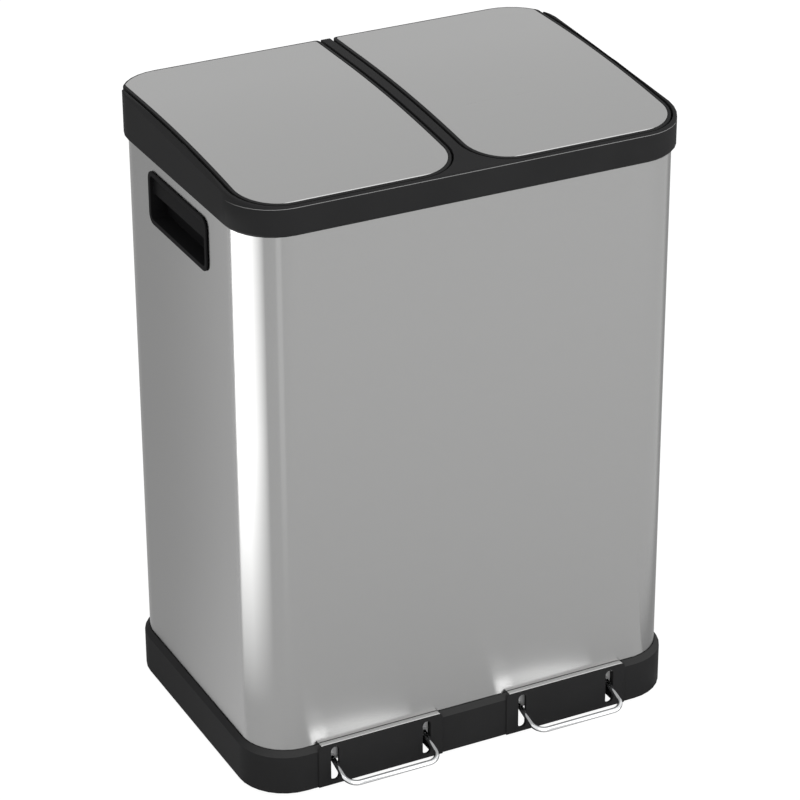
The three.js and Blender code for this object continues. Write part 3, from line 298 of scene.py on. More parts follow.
class Grain(Enum):
    """The direction of a brushed sheet's lines, as noise cells per metre along x, y and z."""

    ROUND_THE_BODY = (6.0, 6.0, 1900.0)
    ACROSS_THE_LID = (6.0, 1900.0, 1900.0)


class Axis(Enum):
    """An axis of the frame, by the name of its value in a split position."""

    DEPTH = "Y"
    UP = "Z"


@dataclass(frozen=True)
class PaintedHighlight:
    """A painted highlight along an edge at the front, in place of the light it catches: where it lies on one
    axis, how wide it is and how light.
    """

    axis: Axis
    level: float
    half_width: float
    tone: float
    fade: tuple[float, float] = (-0.09, -0.135)
    depth_limit: float = 0.2


@dataclass(frozen=True)
class Finish:
    """What all finishes share: a name, a slot in the frame's record and a material built once."""

    name: str
    slot: str = "black_plastic"
    # A painted highlight along an edge, blended into the base colour, where the finish has one.
    edge: PaintedHighlight | None = field(default=None, kw_only=True)

    def build(self) -> bpy.types.Material:
        """Returns the finish's material, which is made the first time."""
        name = f"{self.name}_finish"
        known = bpy.data.materials.get(name)
        if known:
            return known
        material = bpy.data.materials.new(name)
        sheet = ShaderSheet(material)
        shader = sheet.add("ShaderNodeBsdfPrincipled")
        self.paint(sheet, shader)
        sheet.add("ShaderNodeOutputMaterial", {}, {"Surface": shader.outputs[0]})
        return material

    def paint(self, sheet: ShaderSheet, shader: bpy.types.Node) -> None:
        """Feeds the shader's sockets."""
        raise NotImplementedError


@dataclass(frozen=True)
class BrushedSteel(Finish):
    """Stainless sheet with fine brushed lines.

    The colour and the roughness follow two layers of noise that is stretched along the brushing.
    """

    slot: str = "brushed_steel"
    grain: Grain = Grain.ROUND_THE_BODY
    tone: float = 0.395
    contrast: float = 0.035
    roughness: float = 0.2
    anisotropy: float = 0.0
    turn: float = 0.25
    broad_stretch: float = 0.16
    fine_share: float = 0.7
    gloss_spread: float = 0.12
    line_depth: float = 0.004 * MM

    def paint(self, sheet: ShaderSheet, shader: bpy.types.Node) -> None:
        """Feeds the shader's sockets."""
        fine = sheet.noise(self.grain.value, 3.0)
        broad = sheet.noise([cells * self.broad_stretch for cells in self.grain.value], 1.0)
        lines = fine * self.fine_share + broad * (1 - self.fine_share)
        dark = [self.tone * (1 - self.contrast) * share for share in STEEL_TINT]
        light = [self.tone * (1 + self.contrast) * share for share in STEEL_TINT]
        colour = sheet.blend(lines, dark, light)
        # The base colour takes the painted highlight along the edge, if there is one.
        sheet.feed(shader.inputs["Base Color"], sheet.paint_highlight(self.edge, colour) if self.edge else colour)
        sheet.feed(shader.inputs["Roughness"], self.roughness + (lines - 0.5) * self.gloss_spread)
        sheet.feed(shader.inputs["Normal"], sheet.bump(fine, self.line_depth, 0.5))
        shader.inputs["Metallic"].default_value = 1.0
        shader.inputs["Anisotropic"].default_value = self.anisotropy
        shader.inputs["Anisotropic Rotation"].default_value = self.turn


@dataclass(frozen=True)
class Moulding(Finish):
    """Moulded plastic or rubber: a fine spark-eroded grain and a slight cloudiness."""

    tone: tuple[float, float, float] = (0.0265, 0.0265, 0.027)
    roughness: float = 0.45
    gloss: float = 0.012
    grain_size: float = 0.5 * MM
    grain_depth: float = 0.012 * MM
    cloud_cells: float = 22.0
    cloudiness: float = 0.12
    cloud_gloss: float = 0.08
    grain_gloss: float = 0.06

    def paint(self, sheet: ShaderSheet, shader: bpy.types.Node) -> None:
        """Feeds the shader's sockets."""
        cloud = sheet.noise([self.cloud_cells] * 3, 2.0)
        grain = sheet.noise([1 / self.grain_size] * 3, 2.0)
        darker = [share * (1 - self.cloudiness) for share in self.tone]
        lighter = [share * (1 + self.cloudiness) for share in self.tone]
        colour = sheet.blend(cloud, darker, lighter)
        # The base colour takes the painted highlight along the edge, if there is one.
        sheet.feed(shader.inputs["Base Color"], sheet.paint_highlight(self.edge, colour) if self.edge else colour)
        uneven = self.roughness + (cloud - 0.5) * self.cloud_gloss + (grain - 0.5) * self.grain_gloss
        sheet.feed(shader.inputs["Roughness"], uneven)
        sheet.feed(shader.inputs["Normal"], sheet.bump(grain, self.grain_depth, 0.6))
        shader.inputs["Specular IOR Level"].default_value = self.gloss


@dataclass(frozen=True)
class Plating(Finish):
    """Bright metal plating, either mirror-like or with the faint mottling of zinc."""

    slot: str = "chrome"
    tone: tuple[float, float, float] = (0.8, 0.81, 0.82)
    roughness: float = 0.07
    mottling: float = 0.02
    mottle_size: float = 6 * MM
    mottle_gloss: float = 3.0

    def paint(self, sheet: ShaderSheet, shader: bpy.types.Node) -> None:
        """Feeds the shader's sockets."""
        mottle = sheet.noise([1 / self.mottle_size] * 3, 3.0)
        darker = [share * (1 - self.mottling) for share in self.tone]
        lighter = [min(share * (1 + self.mottling), 1.0) for share in self.tone]
        sheet.feed(shader.inputs["Base Color"], sheet.blend(mottle, darker, lighter))
        uneven = self.roughness + (mottle - 0.5) * self.mottle_gloss * self.mottling
        sheet.feed(shader.inputs["Roughness"], uneven)
        shader.inputs["Metallic"].default_value = 1.0


BODY_STEEL = BrushedSteel("body_steel", anisotropy=0.9)
LID_STEEL = BrushedSteel("lid_steel", grain=Grain.ACROSS_THE_LID, tone=0.353, roughness=0.3)
TRIM_STEEL = BrushedSteel("trim_steel", grain=Grain.ACROSS_THE_LID, tone=0.9, roughness=0.3)
BLACK_PLASTIC = Moulding("black_plastic")
HANDLE_PLASTIC = Moulding("handle_plastic", "handle_plastic", (0.011, 0.011, 0.0115), 0.38, 0.012)
BUCKET_PLASTIC = Moulding("bucket_plastic", "bucket_plastic", (0.042, 0.045, 0.048), 0.5, grain_size=0.8 * MM)
RUBBER = Moulding("rubber", "rubber", (0.011, 0.011, 0.011), 0.75, 0.2)
NYLON = Moulding("nylon", "nylon", (0.66, 0.65, 0.6), 0.45, 0.4)
CHROME = Plating("chrome")
ZINC = Plating("zinc_steel", "zinc_steel", (0.46, 0.47, 0.465), 0.34, 0.08, 4 * MM)
LEVER_PAINT = Moulding("lever_paint", "zinc_steel", (0.85, 0.85, 0.85), 0.4, 0.5)


# ---------------------------------------------------------------- surfaces


@dataclass(frozen=True)
class Box:
    """The lowest and highest corner of a CAD node at rest."""

    low: Vector
    high: Vector

    @classmethod
    def of(cls, node: str) -> Box:
        """Returns the box of a CAD node."""
        low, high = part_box(node)
        return cls(Vector(low), Vector(high))

    @property
    def middle(self) -> Vector:
        """The middle of the box."""
        return (self.low + self.high) / 2

    @property
    def half(self) -> Vector:
        """Half of its width, depth and height."""
        return (self.high - self.low) / 2


@dataclass
class RoundedPlan:
    """A rectangle with equal rounded corners, seen from above, that offsets can be measured from.

    A point of it is a corner's centre plus radius times the outward direction there, and an offset is added to
    the radius, so that the corners stay round.
    """

    middle: Vector
    half_x: float
    half_y: float
    radius: float
    arc_steps: int = 18
    stations_x: np.ndarray = field(default_factory=lambda: np.linspace(-1, 1, 25)[1:-1])
    stations_y: np.ndarray = field(default_factory=lambda: np.linspace(-1, 1, 19)[1:-1])

    def walk(self) -> tuple[np.ndarray, np.ndarray]:
        """Works out the outline, anticlockwise from the left end of the front.

        Returns:
            The points that the offsets start from, and the outward direction at each.
        """
        inner = np.array([self.half_x - self.radius, self.half_y - self.radius])
        quarter = np.linspace(0, math.pi / 2, self.arc_steps + 1)
        centres, angles = [], []
        runs = ((1, -1, "x"), (1, 1, "y"), (-1, 1, "x"), (-1, -1, "y"))
        start = -math.pi / 2
        for (sign_x, sign_y, kind), turn in zip(runs, (start + np.arange(4) * math.pi / 2)):
            along = self.stations_x if kind == "x" else self.stations_y
            forward = sign_x if kind == "x" else sign_y
            flat = np.sort(along) if forward > 0 else np.sort(along)[::-1]
            ends = np.full(len(flat), float(sign_y if kind == "x" else sign_x))
            pairs = (flat, ends) if kind == "x" else (ends, flat)
            centres.append(np.stack(pairs, axis=1) * inner)
            angles.append(np.full(len(flat), turn))
            centres.append(np.tile(inner * [sign_x, sign_y], (len(quarter), 1)))
            angles.append(turn + quarter)
        centre, angle = np.concatenate(centres), np.concatenate(angles)
        outward = np.stack([np.cos(angle), np.sin(angle)], axis=1)
        return centre + outward * self.radius + np.array(self.middle[:2]), outward

    def sweep(self, offsets: np.ndarray, heights: np.ndarray) -> np.ndarray:
        """Carries a profile round the outline.

        Args:
            offsets: How far each profile point stands out of the outline.
            heights: The height of each profile point.

        Returns:
            A grid of points, with a row for each profile point.
        """
        base, outward = self.walk()
        plan = base[None] + outward[None] * offsets[:, None, None]
        level = np.broadcast_to(heights[:, None, None], (*plan.shape[:2], 1))
        return np.concatenate([plan, level], axis=2)


@dataclass(frozen=True)
class Arch:
    """The top's shape: level at the rear, and falling to the front on a large radius."""

    crest: float
    level_from: float
    radius: float = 1965 * MM

    def height(self, y: np.ndarray) -> np.ndarray:
        """Returns the height over y: the top of a circle in front of its crest, and the crest behind it."""
        run = np.maximum(0.0, self.level_from - y)
        return self.crest - self.radius + np.sqrt(self.radius**2 - run**2)


def grid_faces(rows: int, columns: int, closed: bool) -> np.ndarray:
    """Lists the four corners of each cell of a grid of points.

    Args:
        rows: How many rows of points it has.
        columns: How many columns.
        closed: Whether the last column meets the first.

    Returns:
        An array of (rows - 1, cells per row, 4) point numbers.
    """
    cells = columns if closed else columns - 1
    row, column = np.meshgrid(np.arange(rows - 1), np.arange(cells), indexing="ij")
    beside = (column + 1) % columns
    low, high = row * columns, (row + 1) * columns
    return np.stack([low + column, low + beside, high + beside, high + column], axis=2)


def mesh_piece(name: str, points: np.ndarray, faces: Iterable[Sequence[int]]) -> bpy.types.Object:
    """Makes a smooth-shaded object.

    Args:
        name: The piece's name.
        points: Its vertices, as an array of (count, 3).
        faces: Its faces, each a list of vertex numbers.

    Returns:
        The object, at the origin.
    """
    mesh = bpy.data.meshes.new(name)
    mesh.from_pydata(points.reshape(-1, 3).tolist(), [], [list(map(int, face)) for face in faces])
    mesh.validate()
    mesh.shade_smooth()
    piece = bpy.data.objects.new(name, mesh)
    bpy.context.scene.collection.objects.link(piece)
    return piece


def surface(name: str, grid: np.ndarray, closed: bool = False, capped: bool = False) -> bpy.types.Object:
    """Makes a piece from a grid of points.

    Args:
        name: The piece's name.
        grid: The points, as an array of (rows, columns, 3).
        closed: Whether the last column meets the first.
        capped: Whether the first and last rows are closed with a flat face.

    Returns:
        The object.
    """
    rows, columns = grid.shape[:2]
    faces = grid_faces(rows, columns, closed).reshape(-1, 4).tolist()
    if capped:
        faces.append(list(range(columns))[::-1])
        faces.append(list(range((rows - 1) * columns, rows * columns)))
    return mesh_piece(name, grid, faces)


def tube(
    name: str, path: np.ndarray, radius: float, upright: Sequence[float], sides: int = 20
) -> bpy.types.Object:
    """Makes a round rod along a path.

    Each ring lies across the path's direction there: its points are the path's point plus radius times
    (cosine of the angle times one cross direction plus its sine times the other).

    Args:
        name: The piece's name.
        path: The points of the rod's middle line.
        radius: The rod's radius.
        upright: A direction that is never along the path.
        sides: The points round the rod.

    Returns:
        The object.
    """
    along = np.gradient(path, axis=0)
    along /= np.linalg.norm(along, axis=1, keepdims=True)
    first = np.asarray(upright) - along * (along @ np.asarray(upright))[:, None]
    first /= np.linalg.norm(first, axis=1, keepdims=True)
    second = np.cross(along, first)
    angle = np.linspace(0, 2 * math.pi, sides, endpoint=False)[None, :, None]
    ring = np.cos(angle) * first[:, None] + np.sin(angle) * second[:, None]
    return surface(name, path[:, None] + radius * ring, closed=True, capped=True)


def lathe(
    name: str, profile: Sequence[tuple[float, float]], x: float, y: float, sides: int = 40
) -> bpy.types.Object:
    """Turns a profile about an upright axis.

    Args:
        name: The piece's name.
        profile: Its (radius, height) points, from the foot up, both ends off the axis.
        x: Where the axis stands.
        y: Where the axis stands.
        sides: The points round the axis.

    Returns:
        The object.
    """
    radii, heights = np.array(profile).T
    angle = np.linspace(0, 2 * math.pi, sides, endpoint=False)
    grid = np.stack(
        np.broadcast_arrays(
            x + radii[:, None] * np.cos(angle), y + radii[:, None] * np.sin(angle), heights[:, None]
        ),
        axis=2,
    )
    return surface(name, grid, closed=True, capped=True)


def soften(piece: bpy.types.Object, width: float, segments: int = 2, corner: float = SHARP_ANGLE) -> None:
    """Rounds a piece's sharp edges and lets its flat faces decide the shading beside them.

    Args:
        piece: The piece.
        width: The rounding's width.
        segments: The faces across the rounding.
        corner: The least angle of an edge that is rounded, in degrees.
    """
    bevel = piece.modifiers.new("edge_rounding", "BEVEL")
    bevel.width = width
    bevel.segments = segments
    bevel.limit_method = "ANGLE"
    bevel.angle_limit = math.radians(corner)
    bevel.use_clamp_overlap = False
    bevel.miter_outer = "MITER_ARC"
    weighted = piece.modifiers.new("flat_face_shading", "WEIGHTED_NORMAL")
    weighted.keep_sharp = True


def thicken(piece: bpy.types.Object, wall: float) -> None:
    """Gives an open sheet a wall behind its outer face, and keeps that face's shading flat up to its rims."""
    solidify = piece.modifiers.new("sheet", "SOLIDIFY")
    solidify.thickness = wall
    solidify.offset = -1
    piece.modifiers.new("flat_face_shading", "WEIGHTED_NORMAL").weight = 100


def moulded_copy(frame: dict, node: str, edge: float, sharp: float = SHARP_ANGLE) -> bpy.types.Object:
    """Copies a CAD node, joins its loose triangles into flat faces and rounds its edges.

    Args:
        frame: The loaded frame.
        node: The node's name.
        edge: The width of the edge rounding, or 0 for none.
        sharp: The least angle of a sharp edge, in degrees.

    Returns:
        The new piece, which isn't dressed yet.
    """
    mesh = frame["nodes"][node].data.copy()
    mesh.name = f"{node}_moulded"
    mesh.materials.clear()
    work = bmesh.new()
    work.from_mesh(mesh)
    bmesh.ops.remove_doubles(work, verts=work.verts, dist=WELD_DISTANCE)
    bmesh.ops.dissolve_degenerate(work, edges=work.edges, dist=WELD_DISTANCE)
    bmesh.ops.dissolve_limit(work, angle_limit=math.radians(FLAT_ANGLE), verts=work.verts, edges=work.edges)
    work.to_mesh(mesh)
    work.free()
    mesh.shade_smooth()
    mesh.set_sharp_from_angle(angle=math.radians(sharp))
    piece = bpy.data.objects.new(mesh.name, mesh)
    bpy.context.scene.collection.objects.link(piece)
    if edge:
        soften(piece, edge, corner=sharp)
    else:
        piece.modifiers.new("flat_face_shading", "WEIGHTED_NORMAL").keep_sharp = True
    return piece


# ---------------------------------------------------------------- the bin's sub-assemblies


@dataclass
class Assembly:
    """What every sub-assembly shares: the frame and the way that a finished piece is handed in."""

    frame: dict

    def hand_in(self, piece: bpy.types.Object, body: str, finish: Finish, *nodes: str) -> bpy.types.Object:
        """Dresses a piece, ties it to its body and lets it stand for CAD nodes.

        Args:
            piece: The finished piece.
            body: The body that it moves with.
            finish: Its finish.
            nodes: The CAD nodes that it replaces.

        Returns:
            The piece.
        """
        piece.data.materials.clear()
        piece.data.materials.append(finish.build())
        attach(piece, body)
        if nodes:
            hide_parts(*nodes)
        log.info("%s on %s", piece.name, body)
        return piece

    def remould(self, node: str, body: str, finish: Finish, edge: float) -> None:
        """Replaces a CAD node by a copy of it with rounded edges."""
        self.hand_in(moulded_copy(self.frame, node, edge), body, finish, node)


@dataclass
class BodySheet(Assembly):
    """The brushed steel body: one sheet bent round four corners, with two handle holes and a seam behind."""

    corner: float = 48 * MM
    wall: float = 0.8 * MM
    hole_margin: float = 3.0 * MM
    seam_width: float = 7 * MM
    seam_rise: float = 0.45 * MM
    seam_tuck: float = 2 * MM
    rim_rounding: float = 0.15 * MM
    side_tolerance: float = 0.1 * MM

    def build(self) -> None:
        """Makes the sheet and its seam."""
        self.hand_in(self.sheet(), "bin_body", BODY_STEEL, "outer_shell")
        self.hand_in(self.seam(), "bin_body", BODY_STEEL)

    def sheet(self) -> bpy.types.Object:
        """Carries an upright line round the body's plan and leaves out the cells of the handle holes.

        Returns:
            The sheet, with its wall.
        """
        body, hole = Box.of("outer_shell"), Box.of("handle_cup_right")
        low, high = hole.low + Vector([self.hole_margin] * 3), hole.high - Vector([self.hole_margin] * 3)
        reach = body.half.y - self.corner
        edges = (np.array([low.y, high.y]) - body.middle.y) / reach
        stations = np.concatenate([np.linspace(-0.96, 0.96, 17), edges])
        half = body.half
        plan = RoundedPlan(body.middle, half.x, half.y, self.corner, 24, stations_y=np.sort(stations))
        heights = np.concatenate([np.linspace(body.low.z, low.z, 14), np.linspace(high.z, body.high.z, 3)])
        grid = plan.sweep(np.zeros(len(heights)), heights)
        faces = grid_faces(*grid.shape[:2], closed=True)
        centre = grid.reshape(-1, 3)[faces].mean(axis=2)
        on_side = np.abs(centre[..., 0]) > body.half.x - self.side_tolerance
        inside = (centre[..., 1] > low.y) & (centre[..., 1] < high.y) & (centre[..., 2] > low.z)
        inside &= centre[..., 2] < high.z
        piece = mesh_piece("body_sheet", grid, faces[~(on_side & inside)].tolist())
        thicken(piece, self.wall)
        soften(piece, self.rim_rounding, corner=SHEET_SHARP_ANGLE)
        return piece

    def seam(self) -> bpy.types.Object:
        """Makes the folded seam behind: a flat strip whose long edges run out in a quarter wave.

        Returns:
            The seam.
        """
        body, plinth, collar = Box.of("outer_shell"), Box.of("base_plinth"), Box.of("top_collar")
        across = np.linspace(-1, 1, 15)
        rise = self.seam_rise * np.clip((1 - np.abs(across)) * 4, 0, 1) ** 0.5
        heights = np.linspace(plinth.high.z - self.seam_tuck, collar.low.z, 8)
        x = np.broadcast_to(-across * self.seam_width / 2, (len(heights), len(across)))
        y = np.broadcast_to(body.high.y + rise, x.shape)
        z = np.broadcast_to(heights[:, None], x.shape)
        return surface("body_seam", np.stack([x, y, z], axis=2))


@dataclass
class Base(Assembly):
    """The foot ring with its pedal panels, the floor pan and the rubber feet."""

    edge: float = 0.45 * MM
    # A painted highlight band under the foot ring's top at the front, in place of light on its shoulder: its
    # drop under the top, half height, tone and depth limit.
    shoulder_drop: float = 3.7 * MM
    shoulder_half: float = 3 * MM
    shoulder_painted_highlight_tone: float = 0.046
    shoulder_depth_limit: float = 0.149
    foot_radius: float = 12 * MM
    foot_rise: float = 7.7 * MM
    stem_radius: float = 3 * MM
    panel_half: float = 69.8 * MM
    guide_gap: float = 1.0 * MM
    guide_wall: float = 1.0 * MM
    guide_rounding: float = 0.15 * MM
    guide_reach: tuple[float, float] = (-145.4 * MM, -122 * MM)
    guide_span: tuple[float, float] = (7 * MM, 40 * MM)
    trim_foot: tuple[float, float] = (-6.45 * MM, -0.1 * MM)
    trim_corner: float = 5.5 * MM
    trim_profile: tuple[tuple[float, float], ...] = (
        (0.0, 0.0), (0.05, 0.2), (0.3, 0.35), (5.7, 0.35), (5.9, 0.2), (5.9, 0.0),
    )

    def build(self) -> None:
        """Makes the ring, the pan and the feet, and the trims along the tops of the pedal panels."""
        # The ring's finish paints a lighter band under its top at the front: a painted highlight.
        shoulder_level = Box.of("base_plinth").high.z - self.shoulder_drop
        shoulder = PaintedHighlight(
            Axis.UP, shoulder_level, self.shoulder_half, self.shoulder_painted_highlight_tone,
            depth_limit=self.shoulder_depth_limit,
        )
        ring = replace(BLACK_PLASTIC, name="ring_plastic_painted_highlight", edge=shoulder)
        self.remould("base_plinth", "bin_body", ring, self.edge)
        self.remould("base_floor", "bin_body", BLACK_PLASTIC, 0.0)
        for end in ("front", "rear"):
            for side, _ in BOTH_SIDES:
                self.hand_in(self.foot(f"foot_{end}_{side}"), "bin_body", RUBBER, f"foot_{end}_{side}")

        for side, sign in BOTH_SIDES:
            self.hand_in(self.trim(f"panel_trim_{side}", sign * PANEL_MIDDLE), "bin_body", TRIM_STEEL)

        for side, _ in BOTH_SIDES:
            lever = Box.of(f"pedal_lever_{side}")
            for place, x in (("left", lever.low.x - self.guide_gap), ("right", lever.high.x + self.guide_gap)):
                self.hand_in(self.guide(f"lever_guide_{place}_{side}", x), "bin_body", BLACK_PLASTIC)

    def guide(self, name: str, x: float) -> bpy.types.Object:
        """Makes a thin upright web inside the foot ring, beside the end of a lever's flange.

        Args:
            name: The piece's name.
            x: Where it stands.

        Returns:
            The web.
        """
        front, back = self.guide_reach
        foot, top = self.guide_span
        corners = np.array([[front, foot], [back, foot], [back, top], [front, top]])
        half = self.guide_wall / 2
        grid = np.stack([np.column_stack([np.full(4, x + shift), corners]) for shift in (-half, half)])
        piece = surface(name, grid, closed=True, capped=True)
        soften(piece, self.guide_rounding)
        return piece

    def trim(self, name: str, middle: float) -> bpy.types.Object:
        """Carries the trim's profile along the top of a panel, and down its round corners at both ends.

        Args:
            name: The piece's name.
            middle: The panel's middle in x.

        Returns:
            The trim.
        """
        profile = np.array(self.trim_profile) * MM
        corner, level = self.trim_corner, self.panel_half - self.trim_corner
        turn = np.linspace(0, math.pi / 2 * 0.25, 5)
        lead = level + corner * np.sin(turn)
        x = np.concatenate([-lead[::-1], np.linspace(-level, level, 20)[1:-1], lead])
        sunk = corner - np.sqrt(corner**2 - np.maximum(0.0, np.abs(x) - level) ** 2)
        y = Box.of("outer_shell").low.y + self.trim_foot[0] + profile[:, None, 0] + 0 * x
        z = Box.of("base_plinth").high.z + self.trim_foot[1] + profile[:, None, 1] - sunk
        return surface(name, np.stack([np.broadcast_to(middle + x, y.shape), y, z], axis=2))

    def foot(self, node: str) -> bpy.types.Object:
        """Turns one foot: a rounded puck with a groove round it, and the stem that holds it.

        Args:
            node: The CAD node that it stands for.

        Returns:
            The foot.
        """
        box = Box.of(node)
        radius, stem, rise, top = self.foot_radius, self.stem_radius, self.foot_rise, box.high.z
        profile = [
            (0.2 * MM, 0.0), (radius - 1.6 * MM, 0.0), (radius - 0.6 * MM, 0.3 * MM), (radius, 1.2 * MM),
            (radius, 2.6 * MM), (radius - 0.6 * MM, 3.0 * MM), (radius, 3.4 * MM), (radius, rise - 0.5 * MM),
            (radius - 0.5 * MM, rise), (stem + 0.3 * MM, rise), (stem, rise + 0.3 * MM),
            (stem, top - MM), (stem - MM, top), (0.2 * MM, top),
        ]
        return lathe(f"rubber_{node}", profile, box.middle.x, box.middle.y)


@dataclass
class Collar(Assembly):
    """The black collar with its arched rim, and the hinge rods and bumpers in it."""

    arch: Arch
    edge: float = 0.4 * MM
    small_edge: float = 0.3 * MM
    # A painted highlight line along the collar's front top edge: its drop under the top, half its width and
    # its tone.
    painted_highlight_line_drop: float = 1.6 * MM
    painted_highlight_line_half: float = 0.27 * MM
    painted_highlight_line_tone: float = 0.28

    def build(self) -> None:
        """Makes the collar and what it carries."""
        # The collar's finish paints a highlight line along its front top edge.
        front_top = self.arch.height(np.array(Box.of("top_collar").low.y)).item()
        painted_highlight_line_level = front_top - self.painted_highlight_line_drop
        painted_highlight_line = PaintedHighlight(Axis.UP, painted_highlight_line_level, self.painted_highlight_line_half, self.painted_highlight_line_tone, fade=(-0.1, -0.125))
        plastic = replace(BLACK_PLASTIC, name="collar_plastic_painted_highlight", edge=painted_highlight_line)
        self.remould("top_collar", "bin_body", plastic, self.edge)
        for side, _ in BOTH_SIDES:
            self.remould(f"lid_hinge_rod_{side}", "bin_body", ZINC, self.small_edge)
            for place in ("inner", "outer"):
                self.remould(f"lid_bumper_{place}_{side}", "bin_body", RUBBER, self.small_edge)


@dataclass
class Lids(Assembly):
    """The two lids: a black moulding with a brushed steel skin let into it."""

    arch: Arch
    edge: float = 0.4 * MM
    front_corner: float = 41.6 * MM
    rear_inner_corner: float = 3.3 * MM
    rear_arc_radius: float = 49.8 * MM
    rear_arc_inset: float = 52 * MM
    skin: float = 0.8 * MM
    skin_rounding: float = 0.25 * MM
    # A painted highlight line along the skins' front edge: half its width and its tone.
    painted_highlight_line_half: float = 1.2 * MM
    painted_highlight_line_tone: float = 0.75

    def build(self) -> None:
        """Makes both lids."""
        # The skins' finish paints a highlight line along their front edge.
        painted_highlight_line = PaintedHighlight(Axis.DEPTH, Box.of("lid_skin_left").low.y, self.painted_highlight_line_half, self.painted_highlight_line_tone)
        steel = replace(LID_STEEL, edge=painted_highlight_line)
        for side, sign in BOTH_SIDES:
            self.remould(f"lid_frame_{side}", f"lid_{side}", BLACK_PLASTIC, self.edge)
            skin = self.skin_sheet(f"lid_skin_sheet_{side}", Box.of(f"lid_skin_{side}"), sign)
            self.hand_in(skin, f"lid_{side}", steel, f"lid_skin_{side}")

    def skin_sheet(self, name: str, box: Box, sign: int) -> bpy.types.Object:
        """Makes one skin: across each line of y, x runs between the two edges, and z is the arch's height.

        Args:
            name: The piece's name.
            box: The box of the CAD skin.
            sign: 1 for the right lid, -1 for the left.

        Returns:
            The skin.
        """
        collar = Box.of("top_collar")
        inner, outer = sorted(abs(edge) for edge in (box.low.x, box.high.x))
        front, rear = box.low.y, box.high.y
        ease = (1 - np.cos(np.linspace(0, math.pi / 2, 15))) * self.front_corner
        back = rear - (1 - np.cos(np.linspace(0, math.pi / 2, 19)))[::-1] * self.rear_arc_radius
        y = np.concatenate([front + ease, np.linspace(front + self.front_corner, back[0], 26)[1:-1], back])
        lead = np.sqrt(np.maximum(0.0, self.front_corner**2 - (self.front_corner - (y - front)).clip(0) ** 2))
        gained = np.where(y < front + self.front_corner, self.front_corner - lead, 0.0)
        tail = (y - (rear - self.rear_inner_corner)).clip(0)
        inner_tail = self.rear_inner_corner - np.sqrt(np.maximum(0.0, self.rear_inner_corner**2 - tail**2))
        arc_x, arc_y = collar.high.x - self.rear_arc_inset, collar.high.y - self.rear_arc_inset
        round_x = arc_x + np.sqrt(np.maximum(0.0, self.rear_arc_radius**2 - (y - arc_y).clip(0) ** 2))
        low = inner + gained + inner_tail
        high = np.minimum(outer - gained, round_x)
        share = np.linspace(0, 1, 41)
        x = sign * (low[:, None] + (high - low)[:, None] * share)
        columns = np.broadcast_to(y[:, None], x.shape)
        grid = np.stack([x, columns, self.arch.height(columns)], axis=2)
        piece = surface(name, grid if sign > 0 else grid[:, ::-1])
        thicken(piece, self.skin)
        soften(piece, self.skin_rounding, corner=SHEET_SHARP_ANGLE)
        return piece


@dataclass
class Handles(Assembly):
    """The two recessed carrying handles."""

    edge: float = 0.5 * MM

    def build(self) -> None:
        """Makes both handles."""
        for side, _ in BOTH_SIDES:
            self.remould(f"handle_cup_{side}", "bin_body", HANDLE_PLASTIC, self.edge)


@dataclass
class Pedals(Assembly):
    """The wire pedals, their levers and what carries the levers."""

    wire_radius: float = 2.75 * MM
    bend: float = 13 * MM
    knee_bend: float = 7 * MM
    level_run: float = 30 * MM
    edge: float = 0.3 * MM

    def build(self) -> None:
        """Makes both pedals."""
        for side, _ in BOTH_SIDES:
            self.hand_in(self.wire(side), f"pedal_{side}", CHROME, f"pedal_wire_{side}")
            self.remould(f"pedal_lever_{side}", f"pedal_{side}", LEVER_PAINT, self.edge)
            self.remould(f"pedal_axle_{side}", "bin_body", ZINC, self.edge)
            for place in ("inner", "outer"):
                self.remould(f"pedal_bracket_{place}_{side}", "bin_body", ZINC, self.edge)
                self.remould(f"bracket_screw_{place}_{side}", "bin_body", ZINC, self.edge)

    def wire(self, side: str) -> bpy.types.Object:
        """Bends one pedal: level legs, a knee, a slope, a round bend and the bar, and back the same way.

        Args:
            side: Which pedal it is.

        Returns:
            The wire.
        """
        box = Box.of(f"pedal_wire_{side}")
        radius = self.wire_radius
        leg = box.half.x - radius
        bar = np.array([leg, box.low.y + radius, box.low.z + radius])
        end = np.array([leg, box.high.y, box.high.z - radius])
        knee = end - [0, self.level_run, 0]
        corners = np.array([end, knee, bar, bar * [-1, 1, 1], knee * [-1, 1, 1], end * [-1, 1, 1]])
        middle = np.array([box.middle.x, 0, 0])
        bends = (self.knee_bend, self.bend, self.bend, self.knee_bend)
        path = filleted(corners, bends, 14) + middle
        slope = bar - knee
        upright = np.cross([1.0, 0, 0], slope)
        return tube(f"chrome_pedal_{side}", path, radius, upright / np.linalg.norm(upright), 24)


def filleted(corners: np.ndarray, bends: Sequence[float], steps: int) -> np.ndarray:
    """Rounds the inner corners of a bent line with circular arcs.

    An arc that turns by angle a on radius r starts r * tan(a / 2) before its corner. Its points are the arc's
    centre plus r times the turning direction.

    Args:
        corners: The corners of the line, with its two ends.
        bends: The radius at each inner corner.
        steps: The points of each arc.

    Returns:
        The rounded line's points.
    """
    line = [corners[:1]]
    for before, corner, after, radius in zip(corners, corners[1:], corners[2:], bends):
        into = (corner - before) / np.linalg.norm(corner - before)
        out = (after - corner) / np.linalg.norm(after - corner)
        turn = math.acos(float(np.clip(into @ out, -1, 1)))
        inward = (out - into) / np.linalg.norm(out - into)
        centre = corner + inward * radius / math.cos(turn / 2)
        side = (corner - into * radius * math.tan(turn / 2)) - centre
        angle = np.linspace(0, turn, steps)[:, None]
        arc = centre + np.cos(angle) * side + np.sin(angle) * into * radius
        start = line[-1][-1]
        straight = start + (arc[0] - start) * np.linspace(0, 1, 6)[1:-1, None]
        line += [straight, arc]
    start = line[-1][-1]
    line.append(start + (corners[-1] - start) * np.linspace(0, 1, 6)[1:, None])
    return np.concatenate(line)


